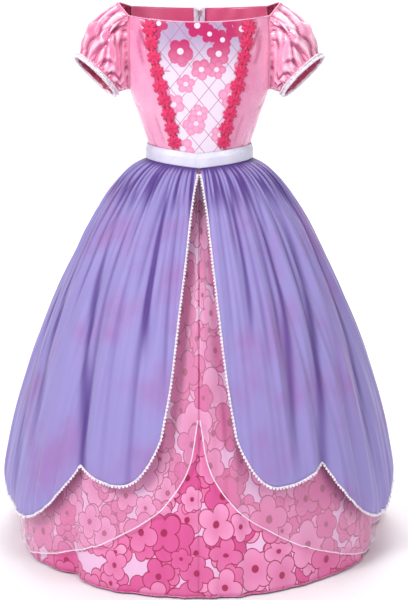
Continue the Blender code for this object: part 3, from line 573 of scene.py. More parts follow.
class Graph:
    """A node tree that is filled by calls."""

    def __init__(self, tree: Tree) -> None:
        """Keeps the tree."""
        self.tree = tree

    def node(self, kind: str, settings: dict | None = None, **inputs: object) -> Node:
        """Adds a node.

        Args:
            kind: the node's type.
            settings: its properties by name.
            inputs: its inputs by name, with _ for a space, or by i and a number.

        Returns:
            The node.
        """
        made = self.tree.nodes.new(kind)
        for key, value in (settings or {}).items():
            setattr(made, key, value)
        self.feed_all(made, **inputs)
        return made

    def feed_all(self, node: Node, **inputs: object) -> None:
        """Feeds a node's inputs by name, with _ for a space, or by i and a number."""
        for key, value in inputs.items():
            by_number = key[0] == "i" and key[1:].isdigit()
            self.feed(node.inputs[int(key[1:])] if by_number else node.inputs[key.replace("_", " ")], value)

    def feed(self, socket: Socket, value: object) -> None:
        """Links an output to a socket, or sets the socket's own value."""
        if isinstance(value, Socket):
            self.tree.links.new(value, socket)
        else:
            socket.default_value = value

    def math(self, operation: str, a: object, b: object = 0.0, c: object = 0.0) -> Socket:
        """The result of a Math node."""
        return self.node("ShaderNodeMath", {"operation": operation}, i0=a, i1=b, i2=c).outputs[0]

    def blend(self, share: object, a: object, b: object) -> Socket:
        """A colour mixed from a to b."""
        made = self.node("ShaderNodeMix", {"data_type": "RGBA"}, i0=share, i6=a, i7=b)
        return made.outputs[2]

    def ramp(
        self, value: object, low: float, high: float, to_low: float = 0.0, to_high: float = 1.0
    ) -> Socket:
        """A value's range mapped softly to another range."""
        settings = {"interpolation_type": "SMOOTHSTEP"}
        made = self.node("ShaderNodeMapRange", settings, i0=value, i1=low, i2=high, i3=to_low, i4=to_high)
        return made.outputs[0]

    def noise(self, vector: object, scale: float, detail: float = 2.0) -> Socket:
        """A noise texture's value."""
        return self.node("ShaderNodeTexNoise", None, Vector=vector, Scale=scale, Detail=detail).outputs[0]

    def stretched(self, vector: object, scale: Triple) -> Socket:
        """A vector scaled on each axis."""
        return self.node("ShaderNodeMapping", None, Vector=vector, Scale=scale).outputs[0]

    def bump(self, height: object, strength: float, distance: float = 0.0004) -> Socket:
        """A bumped normal."""
        made = self.node("ShaderNodeBump", None, Strength=strength, Distance=distance, Height=height)
        return made.outputs[0]

    def grain(self, vector: object, scale: Triple, detail: float) -> Socket:
        """A noise that is scaled on each axis."""
        return self.noise(self.stretched(vector, scale), 1.0, detail)

    def place(self) -> Socket:
        """The point on the piece, in metres."""
        return self.node("ShaderNodeTexCoord").outputs["Object"]

    def cloth_map(self) -> Socket:
        """The cloth's own coordinates, in metres."""
        return self.node("ShaderNodeUVMap", {"uv_map": "cloth"}).outputs[0]

    def groove(self) -> Socket:
        """How far the point lies in a fold, or below 0 on a ridge: the finishes paint shade and highlights by
        it.
        """
        return self.node("ShaderNodeAttribute", {"attribute_name": "groove"}).outputs["Fac"]


def srgb(red: float, green: float, blue: float) -> Colour:
    """A display colour of 0 to 255 as the linear colour that shaders take."""
    shares = [value / 255.0 for value in (red, green, blue)]
    linear = [share / 12.92 if share <= 0.04045 else ((share + 0.055) / 1.055) ** 2.4 for share in shares]
    return (linear[0], linear[1], linear[2], 1.0)


@dataclass(frozen=True)
class Finish:
    """What all finishes share: a name, a roughness and how their material is made."""

    name: str
    roughness: float = 0.5

    def material(self) -> Material:
        """Makes the material, with a principled shader that the finish fills."""
        material = bpy.data.materials.new(self.name)
        material.use_nodes = True
        graph = Graph(material.node_tree)
        shader = graph.tree.nodes["Principled BSDF"]
        graph.feed_all(shader, Roughness=self.roughness)
        self.fill(graph, shader)
        return material

    def fill(self, graph: Graph, shader: Node) -> None:
        """Adds the finish's own nodes and feeds the shader."""
        raise NotImplementedError


@dataclass(frozen=True)
class Satin(Finish):
    """Shiny satin with long soft streaks, partly uneven tone and partly painted sheen, painted shade in its
    folds, painted highlights on its ridges and a fine twill.
    """

    light: Colour = (1.0, 1.0, 1.0, 1.0)
    deep: Colour = (1.0, 1.0, 1.0, 1.0)
    # Painted shade: the colour that the cloth is darkened towards in its folds.
    fold: Colour = (1.0, 1.0, 1.0, 1.0)
    # Painted highlight: the colour that the cloth is lightened towards on its ridges.
    ridge: Colour = srgb(255, 232, 244)
    streak: float = 9.0
    coat: float = 0.10

    def fill(self, graph: Graph, shader: Node) -> None:
        """Adds streaks of tone and painted sheen, painted shade in the folds, painted highlights on the
        ridges, a twill and a coat.
        """
        place, fold = graph.place(), graph.groove()
        # Random lengthwise streaks between deep and light, partly uneven tone and partly painted sheen and
        # shade.
        tone_and_sheen_streaks = graph.noise(graph.stretched(place, (1.0, 1.0, 0.45)), self.streak, 3.0)
        colour = graph.blend(graph.ramp(tone_and_sheen_streaks, 0.36, 0.66), self.deep, self.light)
        # Painted shade in the folds.
        colour = graph.blend(graph.ramp(fold, 0.10, 1.0, 0.0, 0.85), colour, self.fold)
        # Painted highlight on the ridges.
        colour = graph.blend(graph.ramp(fold, -0.25, -1.0, 0.0, 0.65), colour, self.ridge)
        lowest, highest = self.roughness - 0.06, self.roughness + 0.08
        bands = {"wave_type": "BANDS", "bands_direction": "DIAGONAL"}
        twill = graph.node(
            "ShaderNodeTexWave", bands, Vector=graph.cloth_map(), Scale=420.0, Distortion=0.6
        ).outputs[1]
        slub = graph.grain(place, (220.0, 220.0, 30.0), 2.0)
        height = graph.math("ADD", graph.math("MULTIPLY", twill, 0.35), slub)
        graph.feed_all(
            shader,
            Base_Color=colour,
            Roughness=graph.ramp(graph.noise(place, 60.0, 3.0), 0.3, 0.7, lowest, highest),
            Normal=graph.bump(height, 0.10),
            Coat_Weight=self.coat,
            Coat_Roughness=0.16,
            Sheen_Weight=0.25,
            Sheen_Roughness=0.35,
            Specular_IOR_Level=0.75,
        )


@dataclass(frozen=True)
class FlowerLayer:
    """One scatter of round-petalled flowers over cloth coordinates, in metres."""

    cell: float
    shift: tuple[float, float]
    turn: float
    petals: int
    reach: float = 0.185
    petal: float = 0.145
    hub: float = 0.13
    jitter: float = 0.40

    def add(self, graph: Graph, cloth: Socket) -> dict[str, Socket]:
        """Adds the layer's nodes.

        Args:
            graph: where to.
            cloth: the cloth's coordinates.

        Returns:
            The signed distance to the petals' edge and the distance to the centre, in cells, and
            three random numbers of the flower.
        """
        mapped = graph.node(
            "ShaderNodeMapping",
            None,
            Vector=cloth,
            Location=(self.shift[0], self.shift[1], 0.0),
            Rotation=(0.0, 0.0, math.radians(self.turn)),
            Scale=(1.0 / self.cell, 1.0 / self.cell, 1.0),
        ).outputs[0]
        cells = graph.node(
            "ShaderNodeTexVoronoi",
            {"voronoi_dimensions": "2D", "feature": "F1"},
            Vector=mapped,
            Scale=1.0,
            Randomness=self.jitter,
        )
        chance = graph.node("ShaderNodeSeparateColor", None, i0=cells.outputs["Color"]).outputs
        local = graph.node(
            "ShaderNodeVectorMath", {"operation": "SUBTRACT"}, i0=mapped, i1=cells.outputs["Position"]
        ).outputs[0]
        split = graph.node("ShaderNodeSeparateXYZ", None, i0=local).outputs
        size = graph.ramp(chance[0], 0.0, 1.0, 0.72, 1.0)
        length = graph.node("ShaderNodeVectorMath", {"operation": "LENGTH"}, i0=local).outputs["Value"]
        reach = graph.math("DIVIDE", length, size)
        angle = graph.math("ARCTAN2", split[1], split[0])
        turned = graph.math("MULTIPLY_ADD", chance[1], math.tau, angle)
        step = math.tau / self.petals
        within = graph.math("FLOORED_MODULO", graph.math("ADD", turned, 20.0 * math.tau), step)
        folded = graph.math("SUBTRACT", within, step / 2)
        x = graph.math("SUBTRACT", graph.math("MULTIPLY", reach, graph.math("COSINE", folded)), self.reach)
        y = graph.math("MULTIPLY", reach, graph.math("SINE", folded))
        square = graph.math("MULTIPLY_ADD", y, y, graph.math("MULTIPLY", x, x))
        lobe = graph.math("SUBTRACT", graph.math("SQRT", square), self.petal)
        edge = graph.math("MINIMUM", lobe, graph.math("SUBTRACT", reach, self.hub))
        return {"edge": edge, "centre": reach, "a": chance[0], "b": chance[1], "c": chance[2]}


@dataclass(frozen=True)
class FlowerPrint(Finish):
    """Satin printed all over with overlapping flowers, each with a drawn outline and centre."""

    gap: Colour = srgb(232, 186, 222)
    pale: Colour = srgb(238, 158, 202)
    bright: Colour = srgb(214, 70, 144)
    drawn: Colour = srgb(164, 14, 80)

    LAYERS = (
        FlowerLayer(0.100, (0.13, 0.41), 12.0, 4),
        FlowerLayer(0.092, (3.61, 0.27), 57.0, 5),
        FlowerLayer(0.080, (7.15, 5.83), 31.0, 4),
        FlowerLayer(0.124, (1.92, 8.33), 74.0, 5),
        FlowerLayer(0.074, (9.44, 2.71), 5.0, 4),
        FlowerLayer(0.146, (4.37, 6.19), 43.0, 4, jitter=0.55),
        FlowerLayer(0.096, (2.58, 3.06), 22.0, 4),
        FlowerLayer(0.130, (6.73, 1.19), 66.0, 5),
        FlowerLayer(0.108, (8.21, 4.57), 38.0, 4),
        FlowerLayer(0.088, (0.87, 6.94), 9.0, 5),
        FlowerLayer(0.118, (5.52, 9.08), 81.0, 4),
    )

    LINE = 0.0013

    def fill(self, graph: Graph, shader: Node) -> None:
        """Lays the layers of flowers over each other."""
        cloth = graph.cloth_map()
        colour = self.gap
        for layer in self.LAYERS:
            flower = layer.add(graph, cloth)
            line = self.LINE / layer.cell
            petal = graph.blend(flower["c"], self.pale, self.bright)
            petal = graph.blend(graph.ramp(flower["centre"], 0.05, 0.30, 0.35, 0.0), petal, self.bright)
            colour = graph.blend(graph.ramp(flower["edge"], 0.0, line, 1.0, 0.0), colour, petal)
            drawn = graph.ramp(graph.math("ABSOLUTE", flower["edge"]), line * 0.5, line, 1.0, 0.0)
            colour = graph.blend(drawn, colour, self.drawn)
            heart = graph.ramp(flower["centre"], 0.052, 0.064, 1.0, 0.0)
            colour = graph.blend(heart, colour, self.drawn)
        normal = graph.bump(graph.grain(cloth, (900.0, 900.0, 1.0), 1.0), 0.08)
        graph.feed_all(shader, Base_Color=colour, Normal=normal, Sheen_Weight=0.15, Specular_IOR_Level=0.6)


@dataclass(frozen=True)
class LatticePanel(Finish):
    """Pale satin with a thin diamond lattice, and flowers that fade and thin out downwards."""

    light: Colour = srgb(234, 216, 236)
    grey: Colour = srgb(176, 154, 190)
    line: Colour = srgb(176, 104, 146)
    deep: Colour = srgb(190, 26, 100)
    faint: Colour = srgb(243, 160, 200)
    diamond: tuple[float, float] = (0.0315, 0.0385)
    top: float = NECK_FRONT
    foot: float = WAIST

    LAYERS = (
        FlowerLayer(0.058, (0.35, 0.62), 18.0, 5, reach=0.22, petal=0.150, jitter=0.5),
        FlowerLayer(0.054, (5.18, 2.44), 64.0, 5, reach=0.22, petal=0.145, jitter=0.5),
        FlowerLayer(0.056, (2.93, 7.71), 40.0, 5, reach=0.22, petal=0.150, jitter=0.4),
    )

    def fill(self, graph: Graph, shader: Node) -> None:
        """Draws the lattice on the ground, and the flowers over both."""
        cloth = graph.cloth_map()
        axes = graph.node("ShaderNodeSeparateXYZ", None, i0=cloth).outputs
        down = graph.ramp(axes[1], self.top, self.foot)
        ground = graph.blend(graph.ramp(axes[1], -0.12, self.top - 0.015), self.light, self.grey)
        across = graph.math("DIVIDE", axes[0], self.diamond[0])
        along = graph.math("DIVIDE", axes[1], self.diamond[1])
        colour = ground
        for joined in ("ADD", "SUBTRACT"):
            row = graph.math("FRACT", graph.math("ADD", graph.math(joined, across, along), 50.5))
            near = graph.math("ABSOLUTE", graph.math("SUBTRACT", row, 0.5))
            colour = graph.blend(graph.ramp(near, 0.014, 0.032, 0.9, 0.0), colour, self.line)
        for layer in self.LAYERS:
            flower = layer.add(graph, cloth)
            kept = graph.math("GREATER_THAN", flower["c"], graph.math("MULTIPLY", down, 0.45))
            inside = graph.math("MULTIPLY", graph.ramp(flower["edge"], 0.0, 0.02, 1.0, 0.0), kept)
            petal = graph.blend(graph.ramp(axes[1], -0.135, -0.050), self.faint, self.deep)
            rim = graph.ramp(flower["edge"], -0.09, 0.0, 0.0, 0.30)
            petal = graph.blend(rim, petal, self.deep)
            colour = graph.blend(inside, colour, petal)
            heart = graph.math("MULTIPLY", graph.ramp(flower["centre"], 0.085, 0.105, 1.0, 0.0), kept)
            colour = graph.blend(heart, colour, self.light)
        normal = graph.bump(graph.grain(cloth, (500.0, 60.0, 1.0), 2.0), 0.06)
        graph.feed_all(shader, Base_Color=colour, Normal=normal, Sheen_Weight=0.20, Specular_IOR_Level=0.7)


@dataclass(frozen=True)
class SheerCloth(Finish):
    """Thin cloth that lets a share of the light straight through."""

    light: Colour = (1.0, 1.0, 1.0, 1.0)
    see_through: float = 0.5

    def let_light_through(self, graph: Graph, shader: Node) -> None:
        """Mixes a transparent shader in front of the cloth's own."""
        clear = graph.node("ShaderNodeBsdfTransparent").outputs[0]
        joined = graph.node("ShaderNodeMixShader", None, i0=self.see_through, i1=shader.outputs[0], i2=clear)
        graph.feed_all(graph.tree.nodes["Material Output"], Surface=joined.outputs[0])


@dataclass(frozen=True)
class Chiffon(SheerCloth):
    """Soft, slightly see-through cloth, darker and warmer where it folds in: partly the doubled cloth, partly
    painted shade.
    """

    light: Colour = srgb(160, 148, 212)
    see_through: float = 0.16
    warm: Colour = srgb(166, 124, 192)
    # The colour of the folds: partly doubled cloth, partly painted shade.
    groove: Colour = srgb(84, 48, 138)

    def fill(self, graph: Graph, shader: Node) -> None:
        """Adds warm patches, dark folds that are partly doubled cloth and partly painted shade, and a fine
        weave.
        """
        patch = graph.noise(graph.stretched(graph.place(), (1.0, 1.0, 0.8)), 11.0, 3.0)
        colour = graph.blend(graph.ramp(patch, 0.46, 0.72, 0.0, 0.8), self.light, self.warm)
        # Darker in the folds: partly doubled cloth, partly painted shade.
        colour = graph.blend(graph.ramp(graph.groove(), 0.05, 1.0, 0.0, 0.9), colour, self.groove)
        graph.feed_all(
            shader,
            Base_Color=colour,
            Normal=graph.bump(graph.grain(graph.cloth_map(), (700.0, 700.0, 1.0), 1.0), 0.07),
            Sheen_Weight=0.35,
            Sheen_Roughness=0.4,
            Specular_IOR_Level=0.3,
        )
        self.let_light_through(graph, shader)


@dataclass(frozen=True)
class Organza(SheerCloth):
    """Nearly clear stiff cloth with a faint weave and a cool shine."""

    light: Colour = srgb(240, 202, 234)
    see_through: float = 0.78

    def fill(self, graph: Graph, shader: Node) -> None:
        """Adds the faint weave."""
        normal = graph.bump(graph.grain(graph.cloth_map(), (600.0, 600.0, 1.0), 1.0), 0.10)
        graph.feed_all(shader, Base_Color=self.light, Normal=normal, Sheen_Weight=0.4, Specular_IOR_Level=0.8)
        self.let_light_through(graph, shader)


@dataclass(frozen=True)
class Thread(Finish):
    """Yarn, lace or tape in one colour with fine threads."""

    colour: Colour = (0.8, 0.8, 0.8, 1.0)
    shade: Colour = (0.6, 0.6, 0.6, 1.0)
    fineness: float = 900.0
    relief: float = 0.35

    def fill(self, graph: Graph, shader: Node) -> None:
        """Adds an uneven tone and fine threads."""
        place = graph.place()
        tone = graph.ramp(graph.noise(place, 240.0, 3.0), 0.35, 0.65)
        colour = graph.blend(tone, self.shade, self.colour)
        threads = graph.noise(graph.stretched(place, (1.0, 1.0, 0.4)), self.fineness, 2.0)
        normal = graph.bump(threads, self.relief, 0.0005)
        graph.feed_all(shader, Base_Color=colour, Normal=normal, Sheen_Weight=0.3)


@dataclass(frozen=True)
class Metal(Finish):
    """Brushed zip metal."""

    colour: Colour = (0.62, 0.62, 0.64, 1.0)

    def fill(self, graph: Graph, shader: Node) -> None:
        """Adds brush marks and a worn tone."""
        place = graph.place()
        brushed = graph.grain(place, (2600.0, 2600.0, 180.0), 2.0)
        rough = graph.ramp(brushed, 0.3, 0.7, self.roughness, 0.45)
        worn = graph.blend(graph.noise(place, 900.0, 2.0), self.colour, srgb(226, 226, 230))
        graph.feed_all(shader, Metallic=1.0, Base_Color=worn, Roughness=rough)


@dataclass(frozen=True)
class Paper(Finish):
    """The studio's plain floor and backdrop."""

    colour: Colour = srgb(250, 249, 250)

    def fill(self, graph: Graph, shader: Node) -> None:
        """Adds a faint grain."""
        grain = graph.noise(graph.place(), 3.0, 2.0)
        graph.feed_all(shader, Base_Color=graph.blend(grain, self.colour, srgb(246, 245, 247)))


class Wardrobe:
    """All finishes of the dress, made once."""

    def __init__(self) -> None:
        """Makes each material."""
        # Each satin's fold colour is painted shade in its creases; its streaks between light and deep are
        # partly painted sheen.
        light, deep, fold = srgb(248, 184, 214), srgb(232, 138, 182), srgb(196, 84, 132)
        self.satin = Satin("satin_pink", 0.27, light, deep, fold, coat=0.30).material()
        light, deep, fold = srgb(250, 166, 202), srgb(236, 126, 172), srgb(176, 62, 112)
        self.sleeve = Satin("satin_pink_sleeve", 0.22, light, deep, fold, coat=0.45).material()
        light, deep = srgb(226, 98, 146), srgb(212, 80, 126)
        self.inside = Satin("satin_rose_inside", 0.42, light, deep, deep).material()
        light, deep = srgb(190, 60, 104), srgb(160, 22, 74)
        self.cuff_inside = Satin("satin_crimson_inside", 0.45, light, deep, deep).material()
        self.panel = LatticePanel("satin_lattice_panel", 0.32).material()
        self.print = FlowerPrint("satin_flower_print", 0.42).material()
        self.chiffon = Chiffon("chiffon_lilac", 0.55).material()
        self.organza = Organza("organza_clear", 0.35).material()
        # The ribbon's streaks between light and deep are partly painted shade.
        light, deep = srgb(228, 226, 243), srgb(206, 201, 225)
        self.ribbon = Satin("ribbon_white", 0.32, light, deep, deep, streak=14.0).material()
        light, deep = srgb(188, 22, 82), srgb(150, 8, 58)
        self.lace_band = Thread("lace_rose_band", 0.7, light, deep, 900.0, 0.3).material()
        light, deep = srgb(230, 40, 108), srgb(204, 22, 86)
        self.lace = Thread("lace_rose", 0.62, light, deep, 1400.0, 0.2).material()
        light, deep = srgb(250, 246, 250), srgb(222, 212, 228)
        self.trim = Thread("trim_white", 0.50, light, deep, 1600.0, 0.25).material()
        light, deep = srgb(252, 240, 250), srgb(236, 212, 236)
        self.hem = Thread("hem_white", 0.45, light, deep, 1200.0, 0.15).material()
        light, deep = srgb(232, 136, 190), srgb(208, 84, 152)
        self.print_edge = Thread("hem_pink", 0.5, light, deep, 700.0, 0.15).material()
        light, deep = srgb(226, 220, 238), srgb(200, 192, 218)
        self.tape = Thread("tape_white", 0.70, light, deep, 1500.0, 0.30).material()
        self.metal = Metal("zip_steel", 0.28).material()


def grid_mesh(
    name: str,
    points: Array,
    cloth: Array,
    materials: Sequence[Material],
    around: bool = False,
    wall: float = CLOTH,
    extra: dict[str, Array] | None = None,
) -> Piece:
    """Makes a cloth piece from a grid of points on its outside.

    Args:
        name: the piece's name.
        points: rows down the garment, columns to growing azimuth, by 3.
        cloth: rows by columns by 2, the cloth's own coordinates in metres.
        materials: outside finish, and the inside finish if it differs.
        around: whether the last column meets the first.
        wall: thickness, laid inwards, or 0 for none.
        extra: further numbers for each point, by attribute name.

    Returns:
        The object, linked to the scene.
    """
    rows, columns = points.shape[:2]
    index = np.arange(rows * columns).reshape(rows, columns)
    if around:
        index = np.concatenate([index, index[:, :1]], axis=1)
    faces = np.stack([index[:-1, :-1], index[1:, :-1], index[1:, 1:], index[:-1, 1:]], axis=-1)
    count = faces.shape[0] * faces.shape[1]
    mesh = bpy.data.meshes.new(name)
    mesh.vertices.add(rows * columns)
    mesh.vertices.foreach_set("co", points.reshape(-1).astype(np.float32))
    mesh.loops.add(count * 4)
    mesh.loops.foreach_set("vertex_index", faces.reshape(-1).astype(np.int32))
    mesh.polygons.add(count)
    mesh.polygons.foreach_set("loop_start", np.arange(0, count * 4, 4, dtype=np.int32))
    mesh.update(calc_edges=True)
    grid = np.concatenate([cloth, cloth[:, -1:] * 2 - cloth[:, -2:-1]], axis=1) if around else cloth
    corners = np.stack([grid[:-1, :-1], grid[1:, :-1], grid[1:, 1:], grid[:-1, 1:]], axis=2)
    mesh.uv_layers.new(name="cloth").data.foreach_set("uv", corners.reshape(-1).astype(np.float32))
    for key, values in (extra or {}).items():
        attribute = mesh.attributes.new(key, "FLOAT", "POINT")
        attribute.data.foreach_set("value", values.reshape(-1).astype(np.float32))
    mesh.shade_smooth()
    for material in materials:
        mesh.materials.append(material)
    made = bpy.data.objects.new(name, mesh)
    bpy.context.scene.collection.objects.link(made)
    if wall:
        solid = made.modifiers.new("wall", "SOLIDIFY")
        solid.thickness = wall
        solid.offset = -1.0
        solid.material_offset = len(materials) - 1
    return made


def dress_piece(piece: Piece, slot: str, *nodes: str, body: str = BODY) -> Piece:
    """Makes a piece ride on its body and hides the CAD nodes that it stands for.

    Args:
        piece: the piece.
        slot: not used.
        nodes: the CAD nodes that it stands for.
        body: the body that carries it.

    Returns:
        The piece.
    """
    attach(piece, body)
    if nodes:
        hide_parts(*nodes)
    LOG.info("%s: %d faces", piece.name, len(piece.data.polygons))
    return piece


class Repeat:
    """Geometry node trees that lay a small part, or a round cord, along a path."""

    def __init__(self) -> None:
        """Builds both trees."""
        self.row_tree, self.row_sockets = self.make_row_tree()
        self.cord_tree, self.cord_sockets = self.make_cord_tree()

    @staticmethod
    def new_tree(name: str, inputs: Sequence[tuple[str, str]]) -> tuple[Graph, dict[str, str]]:
        """A tree with a geometry in and out, and named inputs.

        Args:
            name: the tree's name.
            inputs: pairs of an input's name and its socket type.

        Returns:
            The graph, and each input's socket identifier by name.
        """
        tree = bpy.data.node_groups.new(name, "GeometryNodeTree")
        face = tree.interface
        face.new_socket("Geometry", in_out="INPUT", socket_type="NodeSocketGeometry")
        face.new_socket("Geometry", in_out="OUTPUT", socket_type="NodeSocketGeometry")
        sockets = {
            key: face.new_socket(key, in_out="INPUT", socket_type=kind).identifier for key, kind in inputs
        }
        return Graph(tree), sockets

    def make_row_tree(self) -> tuple[Tree, dict[str, str]]:
        """The tree that sets a part at each pitch of a path, facing as the path says."""
        inputs = (
            ("Part", "NodeSocketObject"),
            ("Pitch", "NodeSocketFloat"),
            ("Turn", "NodeSocketFloat"),
            ("Size Change", "NodeSocketFloat"),
            ("Seed", "NodeSocketInt"),
            ("Finish", "NodeSocketMaterial"),
        )
        graph, sockets = self.new_tree("row_of_parts", inputs)
        given = graph.node("NodeGroupInput").outputs
        line = graph.node("GeometryNodeMeshToCurve", None, Mesh=given["Geometry"]).outputs[0]
        spaced = graph.node(
            "GeometryNodeResampleCurve", {"mode": "LENGTH"}, Curve=line, Length=given["Pitch"]
        ).outputs[0]
        facing = graph.node("GeometryNodeInputNamedAttribute", {"data_type": "FLOAT_VECTOR"}, Name="facing")
        stood = graph.node("FunctionNodeAlignRotationToVector", {"axis": "Z"}, Vector=facing.outputs[0])
        along = graph.node("GeometryNodeInputTangent").outputs[0]
        lined = graph.node(
            "FunctionNodeAlignRotationToVector",
            {"axis": "X", "pivot_axis": "Z"},
            Rotation=stood.outputs[0],
            Vector=along,
        ).outputs[0]
        part = graph.node("GeometryNodeObjectInfo", None, Object=given["Part"]).outputs["Geometry"]
        low = graph.math("SUBTRACT", 1.0, given["Size Change"])
        high = graph.math("ADD", 1.0, given["Size Change"])
        size = graph.node("FunctionNodeRandomValue", {"data_type": "FLOAT"}, Seed=given["Seed"])
        graph.feed(size.inputs[2], low)
        graph.feed(size.inputs[3], high)
        placed_parts = graph.node(
            "GeometryNodeInstanceOnPoints", None, Points=spaced, Instance=part, Rotation=lined
        )
        graph.feed(placed_parts.inputs["Scale"], size.outputs[1])
        turn = graph.node("FunctionNodeRandomValue", {"data_type": "FLOAT"}, Seed=given["Seed"])
        graph.feed(turn.inputs[2], graph.math("MULTIPLY", given["Turn"], -1.0))
        graph.feed(turn.inputs[3], given["Turn"])
        upright = (0.0, 0.0, 1.0)
        spun = graph.node("FunctionNodeAxisAngleToRotation", None, Axis=upright, Angle=turn.outputs[1])
        turned = graph.node(
            "GeometryNodeRotateInstances", None, Instances=placed_parts.outputs[0], Rotation=spun.outputs[0]
        ).outputs[0]
        real = graph.node("GeometryNodeRealizeInstances", None, Geometry=turned).outputs[0]
        done = graph.node("GeometryNodeSetMaterial", None, Geometry=real, Material=given["Finish"]).outputs[0]
        graph.node("NodeGroupOutput", None, Geometry=done)
        return graph.tree, sockets

    def make_cord_tree(self) -> tuple[Tree, dict[str, str]]:
        """The tree that makes a round cord along a path."""
        inputs = (
            ("Radius", "NodeSocketFloat"),
            ("Sides", "NodeSocketInt"),
            ("Finish", "NodeSocketMaterial"),
        )
        graph, sockets = self.new_tree("round_cord", inputs)
        given = graph.node("NodeGroupInput").outputs
        line = graph.node("GeometryNodeMeshToCurve", None, Mesh=given["Geometry"]).outputs[0]
        ring = graph.node(
            "GeometryNodeCurvePrimitiveCircle", None, Resolution=given["Sides"], Radius=given["Radius"]
        ).outputs[0]
        tube = graph.node("GeometryNodeCurveToMesh", None, Curve=line, Profile_Curve=ring)
        graph.feed(tube.inputs["Fill Caps"], True)
        soft = graph.node("GeometryNodeSetShadeSmooth", None, Geometry=tube.outputs[0]).outputs[0]
        real = graph.node("GeometryNodeRealizeInstances", None, Geometry=soft).outputs[0]
        done = graph.node("GeometryNodeSetMaterial", None, Geometry=real, Material=given["Finish"]).outputs[0]
        graph.node("NodeGroupOutput", None, Geometry=done)
        return graph.tree, sockets

    @staticmethod
    def path(name: str, points: Array, facing: Array | None = None, closed: bool = False) -> Piece:
        """An object of edges through points, with the way that each faces.

        Args:
            name: its name.
            points: count by 3.
            facing: count by 3, or None.
            closed: whether the last point meets the first.

        Returns:
            The object.
        """
        mesh = bpy.data.meshes.new(name)
        count = len(points)
        edges = [(i, i + 1) for i in range(count - 1)] + ([(count - 1, 0)] if closed else [])
        mesh.from_pydata([tuple(map(float, point)) for point in points], edges, [])
        attribute = mesh.attributes.new("facing", "FLOAT_VECTOR", "POINT")
        values = points * 0.0 if facing is None else facing
        attribute.data.foreach_set("vector", np.asarray(values, np.float32).reshape(-1))
        made = bpy.data.objects.new(name, mesh)
        bpy.context.scene.collection.objects.link(made)
        return made

    @staticmethod
    def bake(path: Piece, tree: Tree, values: dict[str, object]) -> Piece:
        """Runs a tree on a path, keeps its result as a plain mesh and takes the tree off.

        Args:
            path: the object that is changed.
            tree: the tree.
            values: inputs by socket identifier.

        Returns:
            The same object.
        """
        modifier = path.modifiers.new("nodes", "NODES")
        modifier.node_group = tree
        for key, value in values.items():
            modifier[key] = value
        graph = bpy.context.evaluated_depsgraph_get()
        mesh = bpy.data.meshes.new_from_object(path.evaluated_get(graph), depsgraph=graph)
        path.modifiers.clear()
        old, path.data = path.data, mesh
        bpy.data.meshes.remove(old)
        mesh.name = path.name
        return path

    def row(
        self,
        name: str,
        points: Array,
        facing: Array,
        part: Piece,
        finish: Material,
        pitch: float,
        turn: float = 0.0,
        change: float = 0.0,
        closed: bool = False,
    ) -> Piece:
        """Sets a part at each pitch of a path.

        Args:
            name: the piece's name.
            points: the path.
            facing: the way that the part's Z points at each point.
            part: the part's object.
            finish: its material.
            pitch: metres from one to the next.
            turn: how far each is turned by chance about its Z, in radians.
            change: how much its size changes by chance.
            closed: whether the path is a loop.

        Returns:
            The piece.
        """
        sockets = self.row_sockets
        values = {
            sockets["Part"]: part,
            sockets["Pitch"]: pitch,
            sockets["Turn"]: turn,
            sockets["Size Change"]: change,
            sockets["Seed"]: 7,
            sockets["Finish"]: finish,
        }
        return self.bake(self.path(name, points, facing, closed), self.row_tree, values)

    def cord(
        self, name: str, points: Array, radius: float, finish: Material, closed: bool = False
    ) -> Piece:
        """A round cord along a path."""
        sockets = self.cord_sockets
        values = {sockets["Radius"]: radius, sockets["Sides"]: 6, sockets["Finish"]: finish}
        return self.bake(self.path(name, points, None, closed), self.cord_tree, values)


